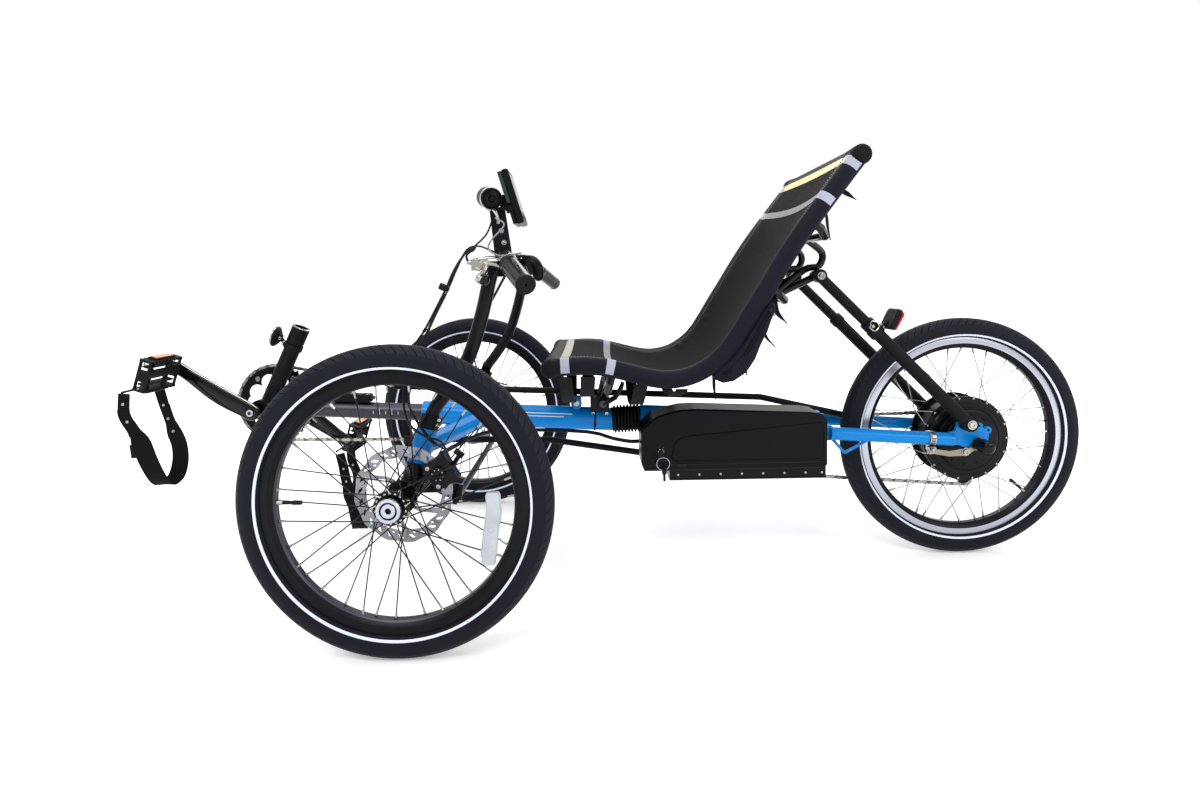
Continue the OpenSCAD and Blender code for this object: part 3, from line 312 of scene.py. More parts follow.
finish = {
    "main_tube": MAIN_BLUE, "cross_member": BLUE, "rear_frame": BLUE, "boom": GRAPHITE,
    "accessory_post": MATT_BLACK, "front_reflector": CLEAR, "controller_box": CASE_PLASTIC,
    "suspension_bellows": RUBBER, "rear_axle": RUBBER, "torque_arm": BRONZED,
    "battery": CASE_PLASTIC, "battery_rail": BLACK_ANODISED,
    "seat_frame": GLOSS_BLACK, "seat_sling": MESH_CLOTH, "seat_struts": MATT_BLACK,
    "seat_clamp": BLACK_ANODISED, "seat_pouch": WRAP_CLOTH, "tail_light": RED,
    "chain": CHAIN_STEEL, "chain_tubes": MATT_PLASTIC, "derailleur": BLACK_ANODISED, "frame_cables": RUBBER,
    "throttle": CASE_PLASTIC, "accessory_bar": MATT_BLACK, "display": CASE_PLASTIC, "horn": GLOSS_PLASTIC_AND_HOLE_SHADE,
    "tie_rod": SATIN_BLACK, "rear_motor": SATIN_BLACK, "rear_sprockets": ZINC, "rear_spokes": STAINLESS,
    "rear_rim": MACHINED, "rear_tyre": TYRE_RUBBER, "crankset": SATIN_BLACK, "chainring": BLACK_ANODISED,
}
for side in ("left", "right"):
    finish.update({
        side + "_knuckle": SATIN_BLACK, side + "_handlebar": SATIN_BLACK, side + "_grip": GRIP_RUBBER,
        side + "_brake_lever": POLISHED_AND_PAINTED_HIGHLIGHT, side + "_caliper": SATIN_BLACK, side + "_cable": RUBBER,
        side + "_hub": BLACK_ANODISED, side + "_rotor": ROTOR_STEEL, side + "_spokes": BLACK_STEEL,
        side + "_rim": BLACK_ANODISED, side + "_tyre": TYRE_RUBBER, side + "_pedal": MATT_PLASTIC,
        side + "_foot_strap": WEBBING,
    })
for name, material in finish.items():
    mesh = nodes[name].data
    mesh.materials.clear()
    mesh.materials.append(material)

# ---- Mesh tools: shapes are given in millimetres, in a placed local frame ----


def turned(origin, along, across=None):
    """Local +Z along a direction and local +X near another, from a point in millimetres."""
    z = Vector(along).normalized()
    x = Vector(across or ((0, 0, 1) if abs(z.z) < 0.9 else (1, 0, 0)))
    x = (x - x.dot(z) * z).normalized()
    made = Matrix((x, z.cross(x), z)).transposed().to_4x4()
    made.translation = at(*origin)
    return made


HERE = Matrix.Translation(AXLE)


def moved(x, y, z):
    """A shift in the local frame."""
    return Matrix.Translation((x / 1000, y / 1000, z / 1000))


def sideways(x, y, z, side=-1):
    """A place that faces the left, or the right with side 1."""
    return turned((x, y, z), (0, side, 0), (1, 0, 0))


def circle(radius, steps, start=0.0):
    """Points around a circle in a plane."""
    angles = [2 * pi * (k + start) / steps for k in range(steps)]
    return [(radius * cos(a), radius * sin(a)) for a in angles]


def put(bm, place, x, y, z):
    """A corner at a local point."""
    return bm.verts.new(place @ Vector((x / 1000, y / 1000, z / 1000)))


def face(bm, corners, zone=0):
    """A face with the material of a zone."""
    made = bm.faces.new(corners)
    made.material_index = zone
    return made


def skin(bm, loops, zone=0, ends=True):
    """Faces between closed loops, and over both ends. The zone may be a function of row and column."""
    n = len(loops[0])
    made = []
    for i, (one, two) in enumerate(zip(loops, loops[1:])):
        for k in range(n):
            j = (k + 1) % n
            made.append(face(bm, (one[k], one[j], two[j], two[k]), zone(i, k) if callable(zone) else zone))
    if ends:
        end_zone = 0 if callable(zone) else zone
        face(bm, loops[0][::-1], end_zone)
        face(bm, loops[-1], end_zone)
    return made


def revolve(bm, place, profile, steps=24, closed=False, zones=None, zone=0, wave=None):
    """Turns (radius, height) points around local Z."""
    rows = []
    for i in range(steps):
        a = 2 * pi * i / steps
        grow = wave(a) if wave else 1
        rows.append([put(bm, place, r * grow * cos(a), r * grow * sin(a), h) for r, h in profile])
    n = len(profile)
    for i in range(steps):
        one, two = rows[i], rows[(i + 1) % steps]
        for j in range(n if closed else n - 1):
            k = (j + 1) % n
            face(bm, (one[j], two[j], two[k], one[k]), zones[j] if zones else zone)


def hoop(bm, place, bore, radius, width, edge, steps=28, zone=0):
    """Band around local Z. Its outer edges are bevelled: (in, along)."""
    less, along = edge
    profile = [(bore, 0), (radius - less, 0), (radius, along), (radius, width - along),
               (radius - less, width), (bore, width)]
    revolve(bm, place, profile, steps, closed=True, zone=zone)


def stick(bm, a, b, radius, sides=10, zone=0, end=None, chamfer=0.4):
    """Round bar between two points, with chamfered ends."""
    a, b = Vector(a), Vector(b)
    length = (b - a).length
    last = radius if end is None else end
    c = min(chamfer, radius * 0.4, length * 0.2)
    profile = [(0, 0), (radius - c, 0), (radius, c), (last, length - c), (last - c, length), (0, length)]
    revolve(bm, turned(a, b - a), profile, sides, zone=zone)


def ball(bm, place, radius, height, steps=12, zone=0):
    """Low dome on the local XY plane."""
    profile = [(radius, 0)] + [
        (radius * cos(radians(a)), height * sin(radians(a))) for a in (25, 50, 72)
    ]
    revolve(bm, place, profile + [(0, height)], steps, zone=zone)


def hexagon(bm, place, radius, height, zone=0):
    """Hexagon head with a chamfered top and a socket."""
    profile = [(radius, 0), (radius, height - 0.6), (radius - 0.6, height), (radius * 0.5, height),
               (radius * 0.5, height - 1.4), (0, height - 1.4)]
    revolve(bm, place, profile, 6, zone=zone)


def slab(bm, place, outline, low, high, zone=0, chamfer=0.6):
    """A plate with chamfered edges: the outline is extruded from low to high."""
    n = len(outline)
    turns = zip(outline, outline[1:] + outline[:1])
    sign = 1 if sum(x * next_y - next_x * y for (x, y), (next_x, next_y) in turns) > 0 else -1
    inner = []
    for i in range(n):
        a, b, c = Vector(outline[i - 1]), Vector(outline[i]), Vector(outline[(i + 1) % n])
        u, v = (b - a).normalized(), (c - b).normalized()
        bend = u + v
        w = bend.normalized() if bend.length > 1e-6 else u
        inward = Vector((-w.y, w.x)) * sign
        inner.append(b + inward * chamfer / max(0.5, w.dot(u)))
    loops = []
    for points, z in ((inner, low), (outline, low + chamfer), (outline, high - chamfer), (inner, high)):
        loops.append([put(bm, place, p[0], p[1], z) for p in points])
    skin(bm, loops, zone)


def block(bm, place, size, zone=0, chamfer=0.8):
    """Chamfered box around the origin of its place."""
    x, y, z = (s / 2 for s in size)
    slab(bm, place, [(-x, -y), (x, -y), (x, y), (-x, y)], -z, z, zone,
         min(chamfer, x * 0.4, y * 0.4, z * 0.4))


def smooth_line(points, steps):
    """Catmull-Rom curve through the points."""
    p = [Vector(q) for q in points]
    p = [2 * p[0] - p[1]] + p + [2 * p[-1] - p[-2]]
    made = []
    for i in range(1, len(p) - 2):
        a, b, c, d = p[i - 1 : i + 3]
        for k in range(steps):
            t = k / steps
            made.append(0.5 * (2 * b + (c - a) * t + (2 * a - 5 * b + 4 * c - d) * t * t
                               + (3 * b - a - 3 * c + d) * t**3))
    return made + [p[-2]]


def line_from(start, offsets, steps):
    """Smooth curve through points that are given from its start."""
    return smooth_line([start + Vector(q) for q in offsets], steps)


def way_at(points, i):
    """The direction of a line at one of its points."""
    return (points[min(i + 1, len(points) - 1)] - points[max(i - 1, 0)]).normalized()


def frames_along(points, up):
    """The direction and two crossing directions at each point of a line, without twisting."""
    made = []
    side = Vector(up)
    for i in range(len(points)):
        t = way_at(points, i)
        side = (side - side.dot(t) * t).normalized()
        made.append((t, side, t.cross(side)))
    return made


def pipe(bm, points, radius, sides=10, zone=0, up=(0.1, 0.2, 1), flat=1.0):
    """Bar swept along a line, in the frame of the axle. A radius may be one value or one a point."""
    points = [Vector(p) for p in points]
    sizes = radius if isinstance(radius, (list, tuple)) else [radius] * len(points)
    loops = []
    for p, size, (_, u, v) in zip(points, sizes, frames_along(points, up)):
        loops.append([put(bm, HERE, *(p + u * c * flat + v * s)) for c, s in circle(size, sides)])
    skin(bm, loops, zone)


def ribbon(bm, points, widths, sides, thick=1.6, zone=0):
    """Webbing along a line: sides gives the direction of its width at each point."""
    points = [Vector(p) for p in points]
    layer = bm.loops.layers.uv.verify()
    section = [(-1, -1), (-0.33, -1), (0.33, -1), (1, -1), (1, 1), (0.33, 1), (-0.33, 1), (-1, 1)]
    rows, spread = [], {}
    run = 0.0
    for i, (p, w, s) in enumerate(zip(points, widths, sides)):
        if i:
            run += (p - points[i - 1]).length
        t = way_at(points, i)
        s = Vector(s)
        s = (s - s.dot(t) * t).normalized()
        n = t.cross(s)
        row = []
        for a, b in section:
            corner = put(bm, HERE, *(p + s * a * w / 2 + n * b * thick / 2))
            spread[corner] = (mm(a * w / 2), mm(run))
            row.append(corner)
        rows.append(row)
    for made in skin(bm, rows, zone):
        for loop in made.loops:
            loop[layer].uv = spread[loop.vert]


def piece(bm, name, body, materials, replaces=(), angle=35):
    """Makes the object, which rides on a body, unless it is None, and may stand for CAD nodes."""
    bmesh.ops.remove_doubles(bm, verts=bm.verts, dist=2e-6)
    bmesh.ops.recalc_face_normals(bm, faces=bm.faces)
    data = bpy.data.meshes.new(name)
    bm.to_mesh(data)
    bm.free()
    for material in materials:
        data.materials.append(material)
    data.shade_smooth()
    data.set_sharp_from_angle(angle=radians(angle))
    made = bpy.data.objects.new(name, data)
    bpy.context.scene.collection.objects.link(made)
    if body:
        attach(made, body)
    if replaces:
        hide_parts(*replaces)
    return made


# ---- Wheels: local +Z points outwards on a front wheel, to the right on the rear one ----

LEFT = sideways(0, -TRACK_HALF, 0)
RIGHT = sideways(0, TRACK_HALF, 0, 1)
REAR = sideways(WHEELBASE, 0, 0, 1)
BEAD_R = 209.5
SPOKE_END_R = 186.6
SPOKES_A_SIDE = 18
TREAD_BLOCKS = 96
TREAD_R = 240
TREAD_EDGE = 62  # degrees around the tyre from its crown
LINE_EDGE = 116
FLIP = Matrix.Rotation(pi, 4, "X")


def tyre(name, place, body, node):
    """Tyre with slanted grooves in its tread and a reflective line on each side."""
    bm = bmesh.new()
    tube, core = TYRE_HALF, WHEEL_R - TYRE_HALF
    half = (8, 15, 26, 38, 50, 61, 62.5, 76, 90, 104, 115.5, 126.5)
    across = [-a for a in half[::-1]] + list(half)
    columns = []
    for i in range(TREAD_BLOCKS):
        for mark in (0, 0.07, 0.5, 0.93):
            column = []
            for deg in across:
                a = radians(abs(deg))
                lean = 0.8 * tube * max(0, radians(TREAD_EDGE) - a) / (2 * pi * TREAD_R)
                turn_at = 2 * pi * ((i + mark) / TREAD_BLOCKS + lean)
                depth = 1.5 if mark == 0 and 14 < abs(deg) < TREAD_EDGE else 0
                depth += 0.7 if abs(deg) > TREAD_EDGE else 0
                r = core + (tube - depth) * cos(a)
                h = (tube - depth) * sin(radians(deg))
                column.append(put(bm, place, r * cos(turn_at), r * sin(turn_at), h))
            a = 2 * pi * (i + mark) / TREAD_BLOCKS
            low, high = (put(bm, place, BEAD_R * cos(a), BEAD_R * sin(a), h) for h in (-13, 13))
            columns.append([low, *column, high])
    zones = [0]
    for low, high in zip(across, across[1:]):
        middle = abs(low + high) / 2
        zones.append(1 if middle < TREAD_EDGE else 2 if middle > LINE_EDGE else 0)
    zones.append(0)
    for one, two in zip(columns, columns[1:] + columns[:1]):
        for j, zone in enumerate(zones):
            face(bm, (one[j], two[j], two[j + 1], one[j + 1]), zone)
    return piece(bm, name, body, (TYRE_RUBBER, TREAD_RUBBER, STRIPE), (node,), 28)


def rim(name, place, body, node, band, inner, bed):
    """Rim with a band on each side, a darker inner wall and a bed for the spokes."""
    bm = bmesh.new()
    side = [(209.6, 11.4), (209.6, 12.7), (208.6, 13.0), (197.2, 13.0), (196.6, 12.2), (195.6, 12.2),
            (189.5, 8.6), (187, 5.6)]
    profile = side + [(187, -5.6)] + [(r, -h) for r, h in side[-2::-1]]
    profile += [(199, -10), (197, -4), (197, 4), (199, 10)]
    zones = [0, 0, 0, 1, 1, 1, 2, 2, 2, 1, 1, 1, 0, 0, 0] + [1] * 5
    revolve(bm, place, profile, 144, closed=True, zones=zones)
    return piece(bm, name, body, (band, inner, bed), (node,), 30)


def lacing(flange_r, flange_w, lace):
    """The two ends of each spoke in the wheel's frame, the same as in the CAD nodes."""
    ends = []
    for side in (-1, 1):
        for k in range(SPOKES_A_SIDE):
            way = 1 if k % 2 == 0 else -1
            start = 2 * pi * (k + (side + 1) / 4) / SPOKES_A_SIDE
            end = start + radians(way * lace)
            a = Vector((flange_r * cos(start), flange_r * sin(start), side * (flange_w + way * 1.6)))
            b = Vector((SPOKE_END_R * cos(end), SPOKE_END_R * sin(end), side * (2.6 + way * 1.2)))
            ends.append((a, b))
    return ends


def local_stick(bm, place, a, b, radius, sides=8, zone=0, end=None):
    """Round bar between two points of a placed frame."""
    a, b = place @ (Vector(a) / 1000), place @ (Vector(b) / 1000)
    stick(bm, (a - AXLE) * 1000, (b - AXLE) * 1000, radius, sides, zone, end)


def nipples(name, place, body, ends, material):
    """A nipple on the outer end of each spoke, and the bent head at its inner end."""
    bm = bmesh.new()
    for a, b in ends:
        d = (a - b).normalized()
        local_stick(bm, place, b + d * 0.3, b + d * 11.5, 2.2, 8, 0, 1.7)
        out = Vector((a.x, a.y, 0)).normalized()
        side = 1 if a.z > 0 else -1
        head = a - out * 4.5
        head.z = side * (abs(a.z) // 1 + (2.2 if abs(a.z) > 27 else 0))
        local_stick(bm, place, head, a + d * -6, 1.1, 6)
        spot = place @ moved(head.x, head.y, side * 29.3)
        ball(bm, spot if side > 0 else spot @ FLIP, 2.3, 1.3, 8)
    return piece(bm, name, body, (material,))


def valve(name, place, body, degrees):
    """Valve with its nut and cap."""
    bm = bmesh.new()
    a = radians(degrees)
    out = Vector((cos(a), sin(a), 0))
    local_stick(bm, place, out * 187.5, out * 178, 4.2, 12, 1, 3.2)
    local_stick(bm, place, out * 183, out * 160, 2.9, 12, 0)
    local_stick(bm, place, out * 162, out * 148, 3.9, 12, 0, 3.4)
    return piece(bm, name, body, (RUBBER, ZINC))


def rotor(name, place, body, node):
    """Brake disc: wavy slotted ring on curved arms."""
    bm = bmesh.new()
    columns = 216
    rows = [(17, 0), (24, 0), (28, 1), (37, 6), (46, 11), (55, 15), (62, 17), (64.5, 17.5), (67.5, 18.5),
            (71, 20), (74.5, 21.5), (77, 22), (80, 22.5)]
    grid = []
    for i in range(columns):
        line = []
        for r, lean in rows:
            a = 2 * pi * (i + lean) / columns
            edge = 1.3 * cos(2 * pi * i / 18) if r in (62, 80) else 0
            line.append(put(bm, place, (r + edge) * cos(a), (r + edge) * sin(a), -44))
        grid.append(line)
    for i in range(columns):
        two = grid[(i + 1) % columns]
        for j, (r, _) in enumerate(rows[:-1]):
            between_arms = 24 <= r < 62 and i % 36 > (6 if r < 30 else 4)
            notch = r == 17 and i % 36 in (12, 13)
            slot = (r in (67.5, 71) and i % 9 in (2, 3, 4)) or (r == 64.5 and i % 18 in (7, 8))
            if between_arms or notch or slot:
                continue
            face(bm, (grid[i][j], two[j], two[j + 1], grid[i][j + 1]))
    bmesh.ops.delete(bm, geom=[v for v in bm.verts if not v.link_faces], context="VERTS")
    bmesh.ops.solidify(bm, geom=bm.faces[:], thickness=0.0019)
    for k in range(6):
        a = 2 * pi * (k * 36 + 3) / columns
        ball(bm, place @ moved(21 * cos(a), 21 * sin(a), -46) @ FLIP, 3.2, 1.6, 10, 1)
    return piece(bm, name, body, (ROTOR_STEEL, BLACK_STEEL), (node,), 40)


def hub_cap(name, place, body):
    """Machined ring, dark groove and socket bolt on the outer end of a front hub."""
    bm = bmesh.new()
    profile = [(19.2, 37), (19.2, 42), (18.2, 43), (14.2, 43), (13.4, 42), (13.4, 39.5), (11.3, 39.5),
               (11.3, 41.6), (10.5, 42.4), (5.2, 42.4), (4.4, 41.6)]
    revolve(bm, place, profile, 48, zones=[0, 0, 0, 0, 1, 1, 1, 0, 0, 0])
    revolve(bm, place, [(4.4, 41.6), (4.4, 37.5), (0, 37.5)], 6, zone=1)
    return piece(bm, name, body, (MACHINED, BLACK_ANODISED), angle=30)


for side, place in (("left", LEFT), ("right", RIGHT)):
    body = side + "_wheel"
    tyre(side + "_tyre_tread", place, body, side + "_tyre")
    rim(side + "_rim_shell", place, body, side + "_rim",
        BLACK_ANODISED, BLACK_ANODISED, GRAPHITE)
    nipples(side + "_nipples", place, body, lacing(27.9, 27, 42), POLISHED_AND_PAINTED_HIGHLIGHT)
    valve(side + "_valve", place, body, 179 if side == "left" else 0)
    rotor(side + "_rotor_disc", place, body, side + "_rotor")
    hub_cap(side + "_hub_cap", place, body)

tyre("rear_tyre_tread", REAR, "rear_wheel", "rear_tyre")
rim("rear_rim_shell", REAR, "rear_wheel", "rear_rim", MACHINED, BLACK_ANODISED,
    BLACK_ANODISED)
nipples("rear_nipples", REAR, "rear_wheel", lacing(88.9, 27, 22), POLISHED_AND_PAINTED_HIGHLIGHT)
valve("rear_valve", REAR, "rear_wheel", 41)

# Clear reflector across the spokes of the left front wheel
bm = bmesh.new()
rail = smooth_line([(153.5, -384, 17), (155, -384, -12), (150, -384, -45), (145.5, -384, -80),
                    (144.5, -384, -98)], 6)
sizes = [9] + [11.5] * 5 + [12.3] * (len(rail) - 11) + [11] * 4 + [8.5]
section = [(-1, 3), (-1, -2), (-0.85, -3.6), (0, -4.6), (0.85, -3.6), (1, -2), (1, 3), (0, 3.4)]
rows = []
for p, size, (_, u, _) in zip(rail, sizes, frames_along(rail, (1, 0, 0))):
    rows.append([put(bm, HERE, *(p + u * size * a + Vector((0, b, 0)))) for a, b in section])
skin(bm, rows)
ball(bm, turned((150, -388, -42), (0, -1, 0)), 5, 1.6, 16)
piece(bm, "left_wheel_reflector", "left_wheel", (CLEAR,), angle=30)

# Rear motor: stepped covers, with screws on the left one
bm = bmesh.new()
cover = [(87.5, -28.8), (87, -29.6), (77.5, -29.6), (76.5, -30.6), (74.5, -32.4), (66.5, -33.0),
         (65.5, -32.0), (62.8, -32.0), (61.5, -38.2), (60, -38.9), (46, -39.4), (44.5, -40.6), (30, -41.4),
         (28.8, -42.6), (22.2, -43)]
revolve(bm, REAR, cover, 96)
other = [(87.5, 28.8), (87, 29.6), (77.5, 29.6), (76, 31.4), (62, 32), (60, 31.4), (31, 31.6), (30.2, 32)]
revolve(bm, REAR, other, 96)
for k in range(12):
    a = radians(30 * k + 8)
    hexagon(bm, REAR @ moved(53 * cos(a), 53 * sin(a), -39.2) @ FLIP, 2.6, 1.8, 1)
piece(bm, "rear_motor_covers", "rear_wheel", (SATIN_BLACK, BLACK_STEEL), angle=25)

# ---- Seat ----

RAIL_Y = 200
RAIL_R = 13
seat_line = smooth_line(
    [(236, 0, 186), (326, 0, 186), (453, 0, 160), (543, 0, 198), (616, 0, 302), (688, 0, 416),
     (794, 0, 555)], 30
)
seat_run = [0.0]
for a, b in zip(seat_line, seat_line[1:]):
    seat_run.append(seat_run[-1] + (b - a).length)
SEAT_LENGTH = seat_run[-1]


def seat_point(s):
    """The point, the direction along the seat and the direction out of it, at a distance from its front."""
    s = min(max(s, 0), SEAT_LENGTH)
    i = max(k for k in range(len(seat_run)) if seat_run[k] <= s + 1e-9)
    i = min(i, len(seat_line) - 2)
    t = (s - seat_run[i]) / (seat_run[i + 1] - seat_run[i])
    way = (seat_line[min(i + 2, len(seat_line) - 1)] - seat_line[max(i - 1, 0)]).normalized()
    return seat_line[i].lerp(seat_line[i + 1], t), way, Vector((-way.z, 0, way.x))


SEAM = 178
# Tapes across the cloth: where each starts and ends, and its zone
FRONT_TAPE = 19
TOP_TAPE = SEAT_LENGTH - 12
tapes = [(FRONT_TAPE, 35, 4), (101, 116, 3), (SEAT_LENGTH - 106, SEAT_LENGTH - 90, 3),
         (SEAT_LENGTH - 30, TOP_TAPE, 5)]
stops = sorted({0.0, SEAT_LENGTH} | {edge for tape in tapes for edge in tape[:2]})
rows = [0.0]
for a, b in zip(stops, stops[1:]):
    steps = max(1, round((b - a) / 5))
    rows += [a + (b - a) * k / steps for k in range(1, steps + 1)]

SKIN = RAIL_R + 4.0
section = [("wrap", -a) for a in (152, 138, 124, 110, 95, 80, 65, 50, 35, 18)]
section += [("flat", y) for y in (-200, -189, -180, -176, -168, -158, -146, -130, -110, -88, -66, -44, -22)]
section += [("flat", 0)] + [(kind, -value) for kind, value in section[::-1]]


def cloth_at(s, column):
    """A point of the sling's upper skin."""
    kind, value = column
    p, _, out = seat_point(s)
    near = min(1, 4 * s / SEAT_LENGTH, 4 * (SEAT_LENGTH - s) / SEAT_LENGTH)
    if kind == "wrap":
        a = radians(abs(value))
        side = copysign(1, value)
        bulge = SKIN + 0.5 * sin(s / 31) * sin(a)
        return p + Vector((0, side * (RAIL_Y + bulge * sin(a)), 0)) + out * bulge * cos(a)
    y = value
    lift = SKIN - 30 * near * (1 - (y / RAIL_Y) ** 2)
    # Gathers inside the seam where the seat curves, and slow unevenness of the cloth
    bend = exp(-(((s - 300) / 110) ** 2))
    edge = max(0, 1 - abs(abs(y) - 158) / 22)
    gather = sin(s / 3.6 + y / 19 + 0.8 * sin(s / 13)) * (0.6 + 0.4 * sin(s / 17 + y / 50))
    lift += 3.4 * bend * min(1, 1.6 * edge) * gather
    lift += 0.5 * sin(s / 43 + y / 61) * near - (1.1 if 176 <= abs(y) <= 180 else 0)
    return p + Vector((0, y, 0)) + out * lift


def cloth_zone(k, s):
    """The zone of the cloth after a column: 0 mesh, 1 wrap, 2 to 5 tapes and 6 the front panel."""
    (kind, y), (next_kind, next_y) = section[k], section[k + 1]
    inside = kind == next_kind == "flat" and max(abs(y), abs(next_y)) <= SEAM
    if inside and s < FRONT_TAPE:
        return 6
    for low, high, zone in tapes:
        if low < s < high:
            if inside:
                return zone
            return 2 if kind == "flat" or abs(y) < 125 else 1
    return 0 if inside and s < TOP_TAPE else 1


bm = bmesh.new()
layer = bm.loops.layers.uv.verify()
wide = [0.0]
for k in range(1, len(section)):
    step = (cloth_at(300, section[k]) - cloth_at(300, section[k - 1])).length
    wide.append(wide[-1] + step)
grid = [[put(bm, HERE, *cloth_at(s, column)) for column in section] for s in rows]
for i in range(len(rows) - 1):
    middle = (rows[i] + rows[i + 1]) / 2
    for k in range(len(section) - 1):
        corners = (grid[i][k], grid[i][k + 1], grid[i + 1][k + 1], grid[i + 1][k])
        made = face(bm, corners, cloth_zone(k, middle))
        for loop, (x, y) in zip(made.loops, ((k, i), (k + 1, i), (k + 1, i + 1), (k, i + 1))):
            loop[layer].uv = (mm(wide[x]), mm(rows[y]))
bmesh.ops.recalc_face_normals(bm, faces=bm.faces)
if sum(f.normal.dot(Vector((-0.3, 0, 1))) for f in bm.faces if f.material_index == 0) < 0:
    bmesh.ops.reverse_faces(bm, faces=bm.faces)
bmesh.ops.solidify(bm, geom=bm.faces[:], thickness=0.0022)
sling = piece(bm, "seat_sling_cloth", "frame",
              (MESH_CLOTH, WRAP_CLOTH, TAPE_SILVER, TAPE_GREY, TAPE_CREAM, TAPE_YELLOW, TAPE_OLIVE),
              ("seat_sling",), 50)

# Light stitching along both seams
bm = bmesh.new()
for y in (-181.5, 181.5):
    s = 4.0
    while s < SEAT_LENGTH - 14:
        a, b = cloth_at(s, ("flat", y)), cloth_at(s + 3.2, ("flat", y))
        out = seat_point(s)[2]
        stick(bm, a + out * 0.1, b + out * 0.1, 0.62, 5, chamfer=0.2)
        s += 5.6
stitching = piece(bm, "seat_stitching", "frame", (THREAD,))

# Rolled hem at the top and the folded front edge, over the end bars
bm = bmesh.new()
for s, radius, rise in ((SEAT_LENGTH, 15.2, 0.6), (0, 15.0, -1)):
    p, _, out = seat_point(s)
    across = (-222, -219, -212, -200, -150, -100, -50, 0, 50, 100, 150, 200, 212, 219, 222)
    line = [p + Vector((0, y, 0)) + out * rise for y in across]
    sizes = [radius * {222: 0.6, 219: 0.95}.get(abs(y), 1.18 if abs(y) > 180 else 1.0) for y in across]
    pipe(bm, line, sizes, 20, up=(0, 0, 1))
hems = piece(bm, "seat_hem_rolls", "frame", (HEM_CLOTH,))

# Webbing: straps slung under the seat from rail to rail, and the pointed tails of the lacing behind it
bm = bmesh.new()
for x, top, low, width, lean in ((262, 168, 92, 24, 4), (304, 168, 104, 27, -7), (400, 152, 86, 25, -2),
                                 (474, 142, 106, 22, -3)):
    reach = [(-198, top), (-186, top - 8), (-150, top - (top - low) * 0.45), (-100, top - (top - low) * 0.8),
             (-50, low + 3), (0, low), (50, low + 3), (100, top - (top - low) * 0.8),
             (150, top - (top - low) * 0.45), (186, top - 8), (198, top)]
    line = smooth_line([(x + lean * (1 - abs(y) / 198), y, z) for y, z in reach], 4)
    ribbon(bm, line, [width] * len(line), [(1, 0, 0)] * len(line))
tails = [
    [(757, -196, 508), (766, -192, 495), (779, -190, 487), (792, -190, 478)],
    [(731, -176, 468), (744, -172, 455), (748, -170, 432), (753, -170, 408)],
    [(628, -196, 330), (641, -192, 314), (648, -190, 281), (668, -190, 257)],
    [(608, -198, 278), (623, -193, 260), (629, -190, 235), (647, -190, 214)],
    [(582, -196, 222), (589, -192, 206), (592, -190, 186), (594, -190, 163)],
    [(533, -186, 176), (537, -172, 158), (538, -170, 138), (541, -170, 117)],
]
for k, tail in enumerate(tails):
    for side in (1, -1):
        line = smooth_line([(x, y * side, z) for x, y, z in tail], 5)
        n = len(line)
        wide = 13 if k in (2, 4) else 9
        widths = [wide * (1 if i < n * 0.62 else max(0.12, (n - 1 - i) / (n * 0.38))) for i in range(n)]
        ribbon(bm, line, widths, [(0.75, 0.25 * side + (0.5 if k % 2 else 0), 0.3)] * n, 1.4)
piece(bm, "seat_webbing", "frame", (WEBBING,), angle=40)

# Zipped pouch on the outside of the seat back: a soft shell, slack at its foot
bm = bmesh.new()
loops = []
for s, deep, tall in ((292, 5, 8), (298, 12, 15), (312, 18, 21), (332, 20, 24), (355, 18, 25), (380, 15, 23),
                      (405, 13, 21), (428, 11, 19), (446, 9, 15), (456, 4, 7)):
    p, way, out = seat_point(s)
    middle = p - out * (RAIL_R + 4 + deep * 0.72) + Vector((0, -(RAIL_Y + 3), 0))
    loop = []
    for k in range(28):
        a = 2 * pi * k / 28
        c, d = cos(a), sin(a)
        q = middle + out * deep * copysign(abs(c) ** 0.8, c)
        q += Vector((0, tall * 0.62 * copysign(abs(d) ** 0.7, d), 0))
        q += out * 0.9 * sin(s / 9 + 3 * a) - way * 0.6 * cos(5 * a)
        loop.append(put(bm, HERE, *q))
    loops.append(loop)
skin(bm, loops)
bmesh.ops.subdivide_edges(bm, edges=bm.edges[:], cuts=1, use_grid_fill=True, smooth=0.6)
piece(bm, "seat_pouch_shell", "frame", (WRAP_CLOTH,), ("seat_pouch",), 60)

# The pouch's zip, its slider and its pull ring
bm = bmesh.new()
zip_line = []
for s in range(304, 450, 6):
    p, _, out = seat_point(s)
    deep = 19 - abs(s - 335) * 0.08
    y = abs(s - 365) * 0.05 - RAIL_Y - 18.4
    zip_line.append(p - out * (RAIL_R + 5 + deep * 0.45) + Vector((0, y, 0)))
ribbon(bm, zip_line, [7] * len(zip_line), [(0.8, 0, -0.6)] * len(zip_line), 1.2)
for a, b in zip(zip_line, zip_line[1:]):
    for t in (0.0, 0.5):
        q = a.lerp(b, t)
        block(bm, turned(q + Vector((0, -0.9, 0)), (0, -1, 0), (b - a)), (1.5, 3.4, 1.0), 1, 0.2)
p = zip_line[-2]
block(bm, turned(p + Vector((0, -2.2, 0)), (0, -1, 0), (0.6, 0, 0.8)), (9, 6.5, 2.6), 1, 0.6)
ring = [p + Vector((3 + c, -3.8, s - 6)) for c, s in circle(4.5, 16)]
ring.append(ring[0])
pipe(bm, ring, 0.8, 6, 1, up=(0, 1, 0))
piece(bm, "seat_pouch_zip", "frame", (WEBBING, BLACK_STEEL))

# ---- Crank, pedals, foot straps and chain ----

